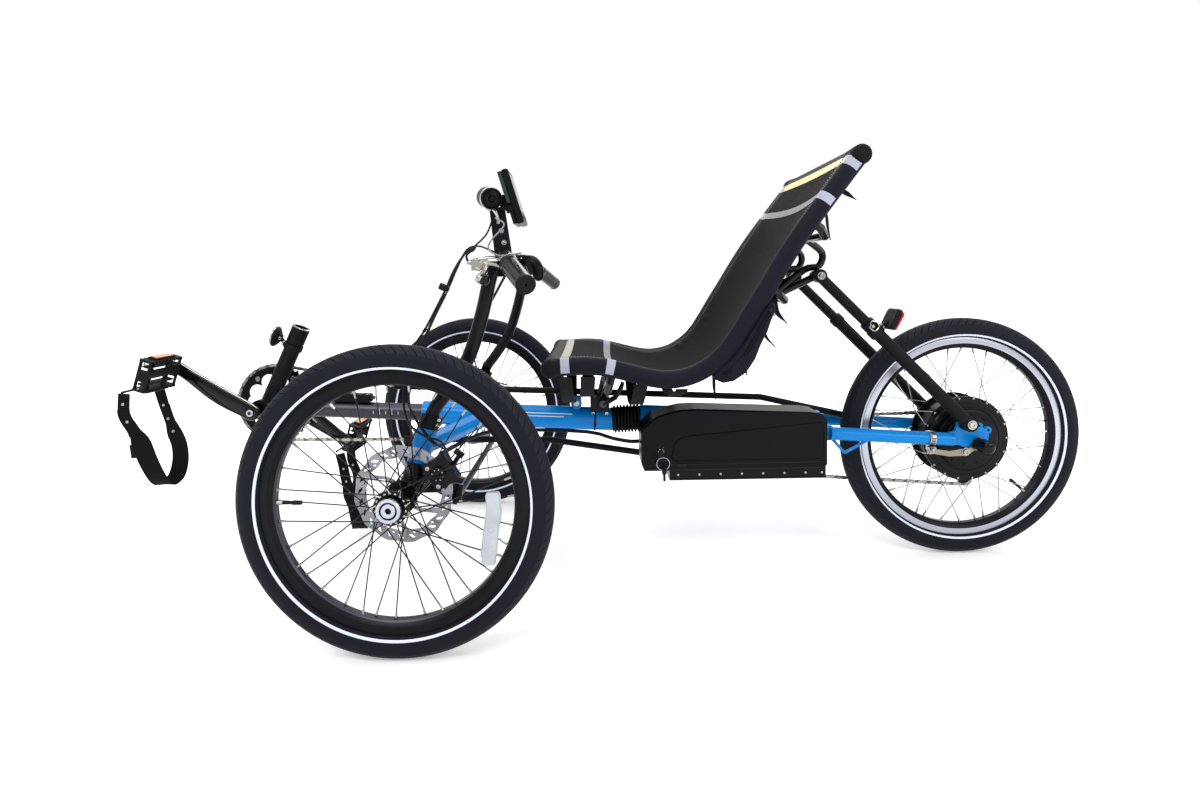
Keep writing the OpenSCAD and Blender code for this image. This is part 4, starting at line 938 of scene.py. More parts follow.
CRANK_AXIS = Vector((-381, 0, 88.92))
TEETH = 41
CHAIN_Y = 45
CHAIN_PITCH = 12.7
JOCKEYS = ((1083, -65), (1123, -103))
REAR_AXLE_X = 1085
CRANK_ANGLE = radians(33)
ARM_LENGTH = 170
ARM_WAY = Vector((-cos(CRANK_ANGLE), 0, sin(CRANK_ANGLE)))
PEDAL_PIN = {-1: CRANK_AXIS + ARM_WAY * ARM_LENGTH, 1: CRANK_AXIS - ARM_WAY * ARM_LENGTH}
PEDAL_UP = Vector((cos(radians(72)), 0, sin(radians(72))))


def loft(bm, place, rows, zones, sides=20):
    """Skin over rounded sections: each row is (x, low y, high y, middle z, half z)."""
    loops = []
    for x, low, high, mid, half in rows:
        loop = []
        for k in range(sides):
            a = 2 * pi * (k + 0.5) / sides
            c, s = cos(a), sin(a)
            y = (low + high) / 2 + (high - low) / 2 * copysign(abs(c) ** 0.75, c)
            loop.append(put(bm, place, x, y, mid + half * copysign(abs(s) ** 0.75, s)))
        loops.append(loop)
    skin(bm, loops, zones)


# Forged arms that swell underneath, on a spindle with capped bolts
bm = bmesh.new()
stick(bm, (CRANK_AXIS.x, -74, CRANK_AXIS.z), (CRANK_AXIS.x, 74, CRANK_AXIS.z), 8.4, 24)
for side in (-1, 1):
    place = turned((CRANK_AXIS.x, 0, CRANK_AXIS.z), (0, side, 0), ARM_WAY * -side)
    rows = []
    for x, top, bottom, low, high in (
        (-16.5, 4, 4, 61, 70), (-13, 11, 11, 59, 72), (-6, 15.6, 15.6, 58, 73), (4, 17, 17, 58, 73),
        (22, 16.6, 18.5, 58.2, 73), (45, 15.6, 21, 59, 73), (70, 14.6, 22, 60, 72.8),
        (95, 13.8, 20.5, 60.5, 72.6), (120, 13, 17, 60, 72.8), (142, 12.4, 13.6, 59, 73),
        (158, 12.6, 12.6, 58, 73), (170, 13, 13, 58, 73), (178, 10.4, 10.4, 58.5, 72.5),
        (182.4, 4, 4, 61, 70),
    ):
        a, b = (-bottom, top) if side > 0 else (-top, bottom)
        rows.append((x, a, b, (low + high) / 2, (high - low) / 2))
    # Painted highlight: one column of faces along each arm's upper edge, rows 2 to 10, takes the polished
    # aluminium and stands in for the reflection of the light along the glossy edge
    painted_highlight_column = 1 if side > 0 else 8
    loft(bm, place, rows, lambda i, k: 1 if 2 <= i <= 10 and k == painted_highlight_column else 0)
    revolve(bm, place, [(12, 72.9), (11.6, 73.9), (9, 74.2), (8.6, 73.4), (7.4, 73.3)], 24)
    revolve(bm, place, [(7.4, 73.2), (7.4, 75.0), (6.6, 75.8), (3.6, 75.8), (3.2, 73.6), (0, 73.6)], 18,
            zone=2)
    pin = PEDAL_PIN[side]
    stick(bm, (pin.x, side * 58, pin.z), (pin.x, side * 173, pin.z), 4.5, 14, 3)
    stick(bm, (pin.x, side * 73, pin.z), (pin.x, side * 79, pin.z), 8.2, 6, 3)
piece(bm, "crank_arms", "crank", (GLOSS_BLACK, POLISHED_AND_PAINTED_HIGHLIGHT, STAINLESS, CHAIN_STEEL),
      ("crankset",), 40)

# Teeth around the chainring and its bolts
bm = bmesh.new()
ring_place = turned((CRANK_AXIS.x, 44, CRANK_AXIS.z), (0, 1, 0), (0, 0, 1))
outline = []
for k in range(TEETH):
    for f, r in ((-0.32, 80.2), (-0.14, 84.6), (0.14, 84.6), (0.32, 80.2)):
        a = 2 * pi * (k + f) / TEETH
        outline.append((r * cos(a), r * sin(a)))
inner = circle(77, len(outline))
loops = [[put(bm, ring_place, x, y, z) for x, y in line] for line, z in
         ((inner, 0), (outline, 0), (outline, 2.0), (inner, 2.0))]
skin(bm, loops + loops[:1], ends=False)
for x, y in circle(66, 5, 0.5):
    revolve(bm, ring_place @ moved(x, y, 3),
            [(5.2, -4.6), (5.2, -5.6), (4.4, -6.2), (2.2, -6.2), (2.0, -5.2), (0, -5.2)], 12, zone=1)
piece(bm, "chainring_teeth", "crank", (CHAIN_STEEL, ZINC), angle=30)


def pedal(side, name, body):
    """Caged pedal with windows, toothed edges and an amber reflector at each end."""
    c = PEDAL_PIN[side]
    middle = 131
    place = turned((c.x, 0, c.z), (0, side, 0), PEDAL_UP)
    bm = bmesh.new()
    profile = [(4.7, 83.4), (9.5, 83.4), (11, 85), (11, 91), (8.2, 95), (8.2, 166), (10.4, 170), (10.4, 178),
               (9, 179), (4.7, 179)]
    revolve(bm, place, profile, 20, closed=True)
    ball(bm, place @ moved(0, 0, 173.5), 4.6, 2.5, 10, 2)

    def bar(x, y, z, size, zone=0, chamfer=0.8):
        """A bar of the cage."""
        block(bm, place @ moved(x, y, z), size, zone, chamfer)

    for x in (-28.5, 28.5):
        bar(x, 0, middle, (4.6, 23, 96))
        for k in range(9):
            for y in (-12.3, 12.3):
                bar(x, y, 90 + k * 10.25, (4.2, 3.4, 4.2), 0, 1.2)
        bar(x * 1.13, 0, middle, (4.4, 15, 58))
        bar(x * 1.205, 0, middle, (2.8, 11.5, 51), 1, 1.0)
    for z in (86.5, 175.5):
        for y in (-9, 9):
            bar(0, y, z, (57, 3.6, 6.4))
        bar(0, 0, z, (22, 19, 6))
    for z in (110, 152):
        bar(0, 0, z, (56, 3.4, 4))
    for x in (-17, 17):
        bar(x, 0, middle, (3, 12, 88))
    for x in (24, -24):
        hexagon(bm, place @ moved(x, 0, 179), 2.4, 1.0, 2)
    return piece(bm, name, body, (MATT_PLASTIC, AMBER, ZINC), (body.replace("_body", ""),))


pedal(-1, "left_caged_pedal", "left_pedal_body")
pedal(1, "right_caged_pedal", "right_pedal_body")


def foot_strap(side, name, body):
    """Heel strap: narrow riveted ends on the pedal and a wide band below them, slightly twisted."""
    move = PEDAL_PIN[side] - PEDAL_PIN[-1]
    outer = [(-557, -180, 150), (-559, -180, 112), (-548, -176, 84), (-539, -171, 60), (-536, -162, 30),
             (-533, -152, 2), (-529, -140, -24), (-525, -128, -37), (-521, -115, -36), (-517, -101, -25),
             (-516, -90, 0), (-519, -86, 30), (-529, -85, 58), (-537, -86, 84), (-543, -89, 112),
             (-551, -90, 147)]
    line = smooth_line(outer, 4)
    n = len(line)
    widths, sides = [], []
    for i, p in enumerate(line):
        t = i / (n - 1)
        near = min(t, 1 - t)
        grow = min(1, max(0, (near - 0.14) / 0.08))
        widths.append(21 + 14 * grow * grow * (3 - 2 * grow))
        sides.append(Vector((1, 0.16 * sin(pi * t * 2), 0.12 * cos(pi * t))))
    line = [Vector((p.x + move.x, p.y * -side, p.z + move.z)) for p in line]
    sides = [Vector((v.x, v.y * -side, v.z)) for v in sides]
    bm = bmesh.new()
    ribbon(bm, line, widths, sides, 2.0)
    # Folded ends, rivets and a sewn tag
    for i, j, shift in ((3, 11, 1.9), (n - 12, n - 4, -1.9)):
        fold = [p + Vector((0, side * shift, 0)) for p in line[i:j]]
        ribbon(bm, fold, widths[i:j], sides[i:j], 1.6)
    for i in (2, 6, n - 5, n - 9, n - 13):
        for way in (-1, 1):
            ball(bm, turned(line[i] + Vector((0, way * 2.4, 0)), (0, way, 0)), 3.0, 1.4, 10, 1)
    tag = turned(line[15] + Vector((-21, side * 1.2, 0)), (0, side, 0), line[17] - line[13])
    block(bm, tag, (26, 9, 1.2), 2, 0.4)
    # Rod that carries the strap below the pedal
    stick(bm, (line[0].x, side * 84, line[0].z + 3), (line[0].x, side * 186, line[0].z + 3), 2.2, 8, 3)
    node = body.replace("pedal_body", "foot_strap")
    return piece(bm, name, body, (WEBBING, ZINC, HEM_CLOTH, BLACK_STEEL), (node,), 40)


foot_strap(-1, "left_heel_strap", "left_pedal_body")
foot_strap(1, "right_heel_strap", "right_pedal_body")


def arc(cx, cz, r, start, end, steps):
    """Points on part of a circle."""
    angles = [radians(start + (end - start) * k / steps) for k in range(steps + 1)]
    return [(cx + r * cos(a), cz + r * sin(a)) for a in angles]


# Chain: inner and outer plates in turn, with a pin at each joint
route = arc(CRANK_AXIS.x, CRANK_AXIS.z, 83, 79, 268, 60) + [(-104, 3), (215, -4), (765, -93)]
route += arc(*JOCKEYS[1], 17, -94, 82, 14) + arc(*JOCKEYS[0], 17, 264, 176, 8)
route += arc(REAR_AXLE_X, 0, 41.5, -126, 97, 40) + [(862, 38.6), (677, 82), (-121, 121)]
route = [Vector((x, CHAIN_Y, z)) for x, z in route]
route.append(route[0])
run = [0.0]
for a, b in zip(route, route[1:]):
    run.append(run[-1] + (b - a).length)
links = 2 * round(run[-1] / CHAIN_PITCH / 2)
pins = []
i = 0
for k in range(links):
    s = run[-1] * k / links
    while run[i + 1] < s:
        i += 1
    pins.append(route[i].lerp(route[i + 1], (s - run[i]) / (run[i + 1] - run[i])))
bm = bmesh.new()
for k, a in enumerate(pins):
    b = pins[(k + 1) % links]
    place = turned((a + b) / 2, (0, 1, 0), b - a)
    half = (b - a).length / 2
    outer = k % 2
    plate = [(-half - 3.4, 0), (-half - 1.6, 3.1), (-half + 2.4, 3.3), (0, 2.3), (half - 2.4, 3.3),
             (half + 1.6, 3.1)]
    plate += [(-x, -y) for x, y in plate]
    for side in (-1, 1):
        z = side * (3.0 if outer else 2.0)
        skin(bm, [[put(bm, place, x, y, level) for x, y in plate] for level in (z - 0.45, z + 0.45)], outer)
    stick(bm, (a.x, CHAIN_Y - 3.6, a.z), (a.x, CHAIN_Y + 3.6, a.z), 1.7, 6, 1, chamfer=0.3)
piece(bm, "drive_chain", "frame", (CHAIN_STEEL, ZINC), ("chain",), 30)

# ---- Front of the frame ----

POST_WAY = Vector((sin(radians(25.8)), 0, cos(radians(25.8))))

# Round reflector in a black dish, on a bracket and a band around the post
bm = bmesh.new()
disc = CRANK_AXIS + Vector((26, 0, 149))
facing = Vector((-cos(radians(18)), 0, sin(radians(18))))
place = turned(disc, facing, (0, 1, 0))
dish = [(0, -13.5), (4, -13.4), (8, -12), (9, -9), (15, -6.5), (20, -2.5), (21.8, 1), (21.8, 3.6),
        (20.4, 4.2)]
revolve(bm, place, dish, 32)
revolve(bm, place, [(20.4, 4.2), (19.8, 3.4), (10, 4.6), (0, 5.0)], 32, zone=1)
revolve(bm, place, [(21.9, 0.4), (22.3, 1.4), (22.3, 2.8), (21.9, 3.6)], 32, zone=2)
band = CRANK_AXIS + POST_WAY * 141
stick(bm, disc - facing * 10, band - Vector((12, 0, 0)), 4.2, 12)
hexagon(bm, turned(disc - facing * 11 + Vector((0, -5, 0)), (0, -1, 0)), 3.6, 4, 3)
collar = [(16.6, 0), (19.4, 0), (19.4, 12), (16.6, 12)]
revolve(bm, turned(band - POST_WAY * 6, POST_WAY), collar, 32, closed=True)
for d in (-3, 3):
    bolt = band + POST_WAY * d + Vector((-19, 0, 8))
    stick(bm, bolt - Vector((0, 7, 0)), bolt + Vector((0, 7, 0)), 2, 10, 3)
piece(bm, "round_front_reflector", "frame", (MATT_PLASTIC, CLEAR, POLISHED_AND_PAINTED_HIGHLIGHT, ZINC),
      ("front_reflector",))

# Rim of the post's open top, its seam ring, the boom's scale marks and the cups of the crank's bearings
bm = bmesh.new()
top = CRANK_AXIS + POST_WAY * 186
revolve(bm, turned(top, POST_WAY), [(14.2, -6), (14.2, 0.4), (16.6, 1.0), (18.1, 0.2), (18.2, -1.6)], 36,
        zone=1)
revolve(bm, turned(top - POST_WAY * 35, POST_WAY), [(16.5, -1.2), (17.6, -0.8), (17.6, 0.6), (16.5, 1.2)], 36)
for k in range(5):
    x = -150 + k * 13
    for a in (-100, -86, -72) if k % 2 else (-96, -86):
        c, s = cos(radians(a)), sin(radians(a))
        block(bm, turned((x, 17.55 * s, tube_z(x) + 17.55 * c), (0, s, c), (1, 0, 0)), (0.9, 3.6, 0.3), 2,
              0.1)
for side in (-1, 1):
    stick(bm, (CRANK_AXIS.x, side * 34.2, CRANK_AXIS.z), (CRANK_AXIS.x, side * 38, CRANK_AXIS.z), 19, 24, 3)
    revolve(bm, turned((CRANK_AXIS.x, side * 38, CRANK_AXIS.z), (0, side, 0)),
            [(17, 0), (16, 2.5), (9.5, 3)], 16, zone=3)
piece(bm, "boom_trim", "frame", (SATIN_BLACK, POLISHED_AND_PAINTED_HIGHLIGHT, SIGNAL_WHITE, BLACK_ANODISED))

# Controller box on the boom: a finned lid, screws and cable glands
bm = bmesh.new()
box_at = Vector((-198, 0, tube_z(-198)))
place = turned(box_at, (TUBE_FALL, 0, 1), (1, 0, -TUBE_FALL))
block(bm, place @ moved(0, 0, 25.5), (76, 26, 16), 0, 1.6)
block(bm, place @ moved(0, 0, 34.4), (72, 22, 1.8), 1, 1.6)
for x in (-32, 32):
    for y in (-8, 8):
        ball(bm, place @ moved(x, y, 35.3), 2.2, 1.0, 10, 2)
for x in (-24, -8, 8, 24):
    block(bm, place @ moved(x, 0, 35.5), (3, 16, 1.2), 1, 0.4)
for y in (-6, 6):
    stick(bm, box_at + Vector((38, y, 24)), box_at + Vector((45, y, 23.6)), 4, 12, 1)
piece(bm, "finned_controller_box", "frame", (CASE_PLASTIC, BLACK_ANODISED, ZINC),
      ("controller_box",), 30)

# ---- Handlebars ----

KINGPIN_Y = 308.947  # from the middle of the trike to the foot of each kingpin
ROTOR_IN = 45  # from the middle of a front wheel to its rotor
GRIP_WAY = Vector((36, -85, -35)).normalized()
GRIP_END = Vector((214, -KINGPIN_Y - 76, 337))
GRIP_START = GRIP_END - GRIP_WAY * 96
LEVER_BODY = GRIP_START - GRIP_WAY * 8 + Vector((-50, -21, 1))
PLATE_Y = -KINGPIN_Y + 50.3  # the outer face of the accessory bar


def flipped(v, side):
    """A left-hand point or direction, on either side."""
    return Vector((v.x, v.y * -side, v.z))


def controls(side, grip_name, lever_name, body):
    """The grip with its cap, and the brake lever with its pivot, blade and ball end."""
    way, start = flipped(GRIP_WAY, side), flipped(GRIP_START, side)
    bm = bmesh.new()
    place = turned(start, way)
    ridges = [(16 - 0.25 * (k % 2), 12 + 5.5 * k) for k in range(15)]
    collar = [(12.6, 0), (16.2, 0), (16.9, 1.2), (16.9, 5), (16, 6.5)]
    revolve(bm, place, collar + ridges + [(16, 92.5), (15.8, 93)], 32)
    cap = [(15.9, 93), (16.3, 93.6), (16.3, 95.2), (15.4, 96.3), (4, 96.8), (2.4, 96.4), (2.2, 92.5),
           (0, 92.5)]
    revolve(bm, place, cap, 32, zone=1)
    piece(bm, grip_name, body, (GRIP_RUBBER, MATT_PLASTIC), (grip_name.replace("_ribbed", ""),))

    body_at = flipped(LEVER_BODY, side)
    c = start - way * 8
    tip = Vector((148, -side * (-KINGPIN_Y - 64), 347))
    bm = bmesh.new()
    hoop(bm, turned(c - way * 5, way), 12.2, 17, 10, (0.5, 1))
    pipe(bm, smooth_line([c + Vector((-10, -side * 2, 0)), c.lerp(body_at, 0.55) + Vector((0, 0, 3)),
                          body_at], 4),
         [8, 8.6, 8.8, 8.6, 8.4, 8.2, 8, 7.6, 7], 16)
    pivot = body_at + Vector((2, side * 8, -4))
    stick(bm, pivot + Vector((0, 0, 9)), pivot + Vector((0, 0, -9)), 7.5, 20)
    hexagon(bm, turned(pivot + Vector((0, 0, 9)), (0, 0, 1)), 3.6, 2.0, 1)
    blade = smooth_line([pivot, pivot + Vector((16, side * 14, -6)),
                         (pivot + tip) / 2 + Vector((8, side * 13, -3)), tip + Vector((-8, side * 4, 1)),
                         tip], 5)
    n = len(blade)
    pipe(bm, blade, [5.6 - 1.2 * i / n for i in range(n)], 12, flat=1.5)
    # Adjusting barrel, clamp screw and the ball end
    stick(bm, body_at + Vector((-4, 0, 0)), body_at + Vector((-13, side * 2.5, 1.5)), 4.4, 12, 1, 3.6)
    stick(bm, c + Vector((-15, 0, -7)), c + Vector((-15, 0, 9)), 2.6, 10, 1)
    sphere = [(9.4 * sin(radians(a)), 9.4 * cos(radians(a))) for a in range(0, 181, 15)]
    revolve(bm, turned(tip, (0.2, side * 0.2, -1)), sphere, 20, zone=2)
    piece(bm, lever_name, body, (POLISHED_AND_PAINTED_HIGHLIGHT, STAINLESS, GLOSS_PLASTIC_AND_HOLE_SHADE),
          (lever_name.replace("_cast", ""),), 40)


controls(-1, "left_ribbed_grip", "left_cast_brake_lever", "left_steer")
controls(1, "right_ribbed_grip", "right_cast_brake_lever", "right_steer")

# Thumb throttle: a clamp, a pod with a seam, and a rounded paddle
bm = bmesh.new()
c = GRIP_START - GRIP_WAY * 21
hoop(bm, turned(c - GRIP_WAY * 5, GRIP_WAY), 12.2, 16.6, 10, (0.6, 0.8))
pod = line_from(c, [(8, 3, 0), (20, 9, 0), (34, 4, -2), (46, -4, -5), (53, -7, -16), (54, -8, -28),
                    (52, -8, -35)], 4)
pipe(bm, pod, [8.5, 8.8, 9.2, 9.6, 10, 10.4, 10.8, 11, 11.1, 11.2, 11.2, 11.2, 11, 10.8, 10.6, 10.4, 10.2,
               10, 9.8, 9.6, 9.2, 8.4, 7, 5, 2.4], 20)
seam = turned(c + Vector((33, 4, -2)), (0.88, -0.46, -0.12))
revolve(bm, seam, [(9.9, -0.8), (10.9, -0.5), (10.9, 0.5), (9.9, 0.8)], 24, zone=1)
block(bm, turned(c + Vector((42, -12, -12)), (0.2, -0.95, 0.1), (0.3, 0, -1)), (26, 12, 5), 1, 1.8)
for d in (-4, 4):
    ball(bm, turned(c + Vector((30 + d, -4, 3)), (-0.2, -0.9, 0.4)), 1.6, 0.9, 8, 2)
piece(bm, "thumb_throttle", "left_steer", (CASE_PLASTIC, GLOSS_PLASTIC_AND_HOLE_SHADE, ZINC),
      ("throttle",), 40)

# Flat bar with its bolts
bm = bmesh.new()
outline = [(148, 352), (176, 352), (180, 380), (168.4, 468), (166, 470), (144, 470), (142.2, 468), (150, 380)]
slab(bm, sideways(0, PLATE_Y, 0), outline, -6, 0, 0, 0.8)
for x, z in ((162, 430), (166, 410)):
    at_bolt = sideways(x, PLATE_Y, z)
    revolve(bm, at_bolt, [(4.4, 0), (4.4, 0.9), (2.9, 0.9)], 16, zone=1)
    ball(bm, at_bolt @ moved(0, 0, 0.9), 3.1, 2.2, 14, 1)
piece(bm, "bolted_accessory_bar", "left_steer", (MATT_BLACK, STAINLESS), ("accessory_bar",),
      30)

# Display: a slab with a thin light edge, a screen, a button pad, an arm and a thumbscrew
bm = bmesh.new()
lean = radians(16.3)
display_out = Vector((cos(lean), 0, sin(lean)))
display_up = Vector((-sin(lean), 0, cos(lean)))


def on_display(across, down, out):
    """A place on the display: across to the right, down from its top, out towards the rider."""
    p = Vector((160, PLATE_Y + 3, 525)) + display_out * out + Vector((0, across, 0)) - display_up * down
    return turned(p, display_out, (0, 1, 0))


block(bm, on_display(0, 46.5, 13.2), (66, 93, 11.6), 0, 2.0)
block(bm, on_display(0, 30, 4.2), (64.5, 58, 7.4), 3, 1.2)
block(bm, on_display(0, 73, 4.2), (64.5, 36, 7.4), 0, 1.2)
block(bm, on_display(0, 40, 18.8), (54, 66, 0.6), 1, 0.2)
for k in (-1, 0, 1):
    block(bm, on_display(k * 16, 83, 19.2), (11, 6, 1.0), 2, 0.4)
block(bm, on_display(-8, 49, -7), (10, 26, 13.4), 0, 1.5)
block(bm, on_display(-8, 60, -3), (9.9, 16, 6), 0, 1.2)
stick(bm, (164, PLATE_Y - 11, 486), (164, PLATE_Y + 3, 486), 3, 12, 4)
for x, z, r in ((174, 493, 5.0), (181, 478, 2.8)):
    knob = [(r * 0.6, 0), (r, 0.4), (r, 4.2), (r * 0.8, 5), (0, 5)]
    revolve(bm, sideways(x, PLATE_Y - 10, z), knob, 14, zone=4, wave=lambda a: 1 + 0.05 * cos(7 * a))
piece(bm, "bar_display", "left_steer",
      (CASE_PLASTIC, SCREEN, RUBBER, GREEN_BLACK, STAINLESS), ("display",), 30)

# Electric horn: a ribbed can with a light ring, a domed grille and a bent bracket
bm = bmesh.new()
back = Vector((138, PLATE_Y - 1, 487))
front = back + Vector((16, -38, -8))
place = turned(back, front - back)
profile = [(0, 0), (14, 0), (17, 1.5), (18, 4), (18, 10), (17.2, 11), (17.2, 13), (18, 14), (18, 19),
           (17.2, 20), (17.2, 22), (18, 23), (18, 29)]
revolve(bm, place, profile, 36)
revolve(bm, place, [(18, 29), (18.7, 29.4), (18.9, 30.6), (18.7, 31.8), (18, 32.2)], 36, zone=1)
revolve(bm, place, [(18, 32.2), (18, 36), (17.2, 38), (16, 38.4), (15.2, 37), (14.8, 35.4), (10, 37.2),
                    (6.2, 38), (5.8, 36.8), (4.8, 36.4), (4.2, 39), (2, 40.2), (0, 40.4)], 36, zone=2)
for k in range(20):
    a = 2 * pi * k / 20
    block(bm, place @ Matrix.Rotation(a, 4, "Z") @ moved(10.5, 0, 36.9), (6.4, 0.9, 0.9), 2, 0.2)
bracket = line_from(back, [(6, -6, -14), (16, -7, -26), (20, -5, -36), (20, -5.5, -46)], 4)
pipe(bm, bracket, 3.0, 10, 3, up=(0, 1, 0), flat=0.7)
stick(bm, back + Vector((2, -3, -16)), back + Vector((9, -3, -22)), 5.4, 12, 3)
piece(bm, "electric_horn", "left_steer",
      (GLOSS_PLASTIC_AND_HOLE_SHADE, TAPE_METAL, CASE_PLASTIC, POLISHED_AND_PAINTED_HIGHLIGHT), ("horn",))


LEADS_LEAVE = 35  # the point of their lines where the leads part from the loom


def cable_run(side, name, body, extra):
    """Brake and control cables looping from the lever to the frame, in matt sleeves."""
    y = -KINGPIN_Y
    bm = bmesh.new()
    start = LEVER_BODY
    outer = [start + Vector((-11, -3.5, 1)), start + Vector((-13, -5, 12))]
    for x, out, z in ((126, -6, 399), (110, -6, 391), (92, -4, 363), (65, 2, 315), (37, 4, 266), (19, 0, 238),
                      (7, -10, 186), (4, -18, 145), (14, -20, 113), (38, -18, 93), (62, -15, 84)):
        outer.append(Vector((x, y + out, z)))
    outer.append(Vector((83.5, -364.6, 69.4)))
    line = smooth_line([flipped(p, side) for p in outer], 5)
    pipe(bm, line, 1.9, 10)
    if extra:
        # Cable of the display and the throttle beside it, the horn's lead and a spare loop
        second = [(150, 40, 452), (140, 30, 424), (124, 12, 404), (104, 2, 386), (84, 5, 356), (66, 9, 316),
                  (44, 9, 272), (26, 6, 232), (12, -4, 182), (10, -10, 146), (30, -6, 104), (52, 30, 62),
                  (58, 90, 50)]
        third = [(170, 30, 386), (146, 24, 396), (130, 4, 402), (112, -4, 396), (94, 2, 366), (76, -1, 326),
                 (50, -2, 276), (30, -4, 226), (16, -12, 180), (12, -20, 150), (26, -14, 112), (44, 20, 70),
                 (50, 80, 58)]
        leads = bmesh.new()
        for points, radius in ((second, 1.5), (third, 1.4)):
            whole = line_from(Vector((0, y, 0)), points, 5)
            pipe(bm, whole[:LEADS_LEAVE + 1], radius, 8)
            pipe(leads, whole[LEADS_LEAVE:], radius, 8)
        # Below here the leads are a piece of their own on no body, not riding with the steering, because
        # their far ends stay on the frame
        crossing = piece(leads, "crossing_leads", None, (CABLE_SLEEVE,), angle=40)
        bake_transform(crossing)
        spare = [(158, 8, 448), (172, 9, 436), (150, 12, 412), (145, 14, 397), (163, 8, 386),
                 (188, -6, 387), (203, -30, 388)]
        pipe(bm, line_from(Vector((0, y, 0)), spare, 6), 1.4, 8, 1)
        clip = Vector((70, y + 4, 336))
        way = (Vector((44, y + 6, 282)) - clip).normalized()
        hoop(bm, turned(clip, way, (0, 1, 0)) @ moved(0, 0, -5), 3.2, 7.2, 10, (0.4, 1), 14, 2)
        block(bm, turned(clip + Vector((7, -4, -3)), way), (7, 5, 6), 2, 1)
    else:
        second = [flipped(p, side) + Vector((4, 4, 2)) for p in outer[2:9]]
        pipe(bm, smooth_line(second, 5), 1.7, 8)
    for q in (8, 30, 52):
        p, r = line[q], line[q + 1]
        revolve(bm, turned(p, r - p), [(1.8, -4), (2.8, -3.4), (2.8, 3.4), (1.8, 4)], 12, zone=2)
    node = body.replace("steer", "cable")
    return piece(bm, name, body, (CABLE_SLEEVE, CABLE_GREY, MATT_PLASTIC), (node,), 40)


cable_run(-1, "left_cable_loom", "left_steer", True)
cable_run(1, "right_cable_loom", "right_steer", False)

# Caps and clamp bolts at the feet of the handlebars, and the pad adjusters on the calipers
KINGPIN_WAY = Vector((tan(radians(16)), tan(radians(14.8)), 1)).normalized()
for side, name, body in ((-1, "left_steering_bolts", "left_steer"),
                         (1, "right_steering_bolts", "right_steer")):
    bm = bmesh.new()
    foot = flipped(Vector((3, -KINGPIN_Y, 0)) + KINGPIN_WAY * 103, side)
    way = flipped(KINGPIN_WAY, side)
    for h in (8, 17):
        at_bolt = foot + way * h
        stick(bm, at_bolt + Vector((17, -9, 0)), at_bolt + Vector((17, 9, 0)), 4.2, 12)
        hexagon(bm, turned(at_bolt + Vector((17, 9 * side, 0)), (0, side, 0)), 3.4, 2.2, 1)
    revolve(bm, turned(foot + way * 1.2, way), [(17.8, 0), (18.6, 0.6), (18.6, 1.8), (17.8, 2.4)], 28)
    # Caliper: a round adjuster with ribs, and two slide bolts
    base = HERE @ moved(0, side * (376 - ROTOR_IN), 0) @ Matrix.Rotation(radians(-30), 4, "Y")
    outward = Matrix.Rotation(radians(-90 * side), 4, "X")
    adjuster = base @ moved(70, side * 18, 0) @ outward
    profile = [(12, 0), (12, 0.8), (10.6, 1.6), (10.2, 0.8), (7, 0.8), (6.6, 1.8), (3, 2.2), (2.6, 1.0),
               (0, 1.0)]
    revolve(bm, adjuster, profile, 28)
    for k in range(8):
        spoke = Matrix.Rotation(2 * pi * k / 8, 4, "Z")
        block(bm, adjuster @ spoke @ moved(8.8, 0, 1.2), (2.6, 1.4, 1.0), 1, 0.2)
    for z in (-17, 17):
        hexagon(bm, base @ moved(60, side * 12, z) @ outward, 4.2, 3.0, 1)
    piece(bm, name, body, (BLACK_ANODISED, STAINLESS))


# ---- Battery, struts, rear frame ----

BATTERY_X, BATTERY_Z = 405, -34
STAY_Y = 74.5
STRUT_Y = STAY_Y + 12
TORQUE_ARM_Y = -77.8
FOLDS = 8

# Battery: a softly edged case over a rail, with a raised panel, a seam, a latch and a lid line
bm = bmesh.new()
case = [(6, 0), (0, 14), (0, 76), (3, 84), (22, 102), (32, 109), (48, 114), (80, 121), (110, 122), (331, 112),
        (350, 109), (358, 104), (365, 94), (365, 8), (359, 0)]
place = sideways(BATTERY_X, -32, BATTERY_Z)
slab(bm, place, case, 3, 80, 0, 3.2)
panel = [(64, 20), (58, 28), (66, 56), (78, 66), (96, 70), (350, 92), (356, 88), (356, 22), (352, 20)]
slab(bm, place, panel, 79.5, 81.0, 0, 1.2)
slab(bm, place, [(4, 13), (361, 15), (361, 12.8), (4, 10.8)], 79.6, 80.5, 1, 0.3)
slab(bm, place, [(70, 8), (70, 15), (90, 15), (90, 8)], 79.5, 81.4, 1, 0.6)
piece(bm, "battery_case", "frame", (CASE_PLASTIC, GLOSS_PLASTIC_AND_HOLE_SHADE), ("battery",), 30)

# Screws and lips of the channel under it
bm = bmesh.new()
for x in (478, 520, 562, 604, 646, 688, 730, 762):
    ball(bm, turned((x, -100.2, -45 if x % 84 else -48), (0, -1, 0)), 2.4, 1.2, 10, 1)
for low, high in ((-3, -1), (-21.6, -18.6)):
    lip = [(0.5, low), (309, low), (309, high), (0.5, high)]
    slab(bm, sideways(461, -100, BATTERY_Z - 0.3), lip, -1, 0.9, 0, 0.4)
piece(bm, "battery_rail_screws", "frame", (BLACK_ANODISED, STAINLESS), angle=30)

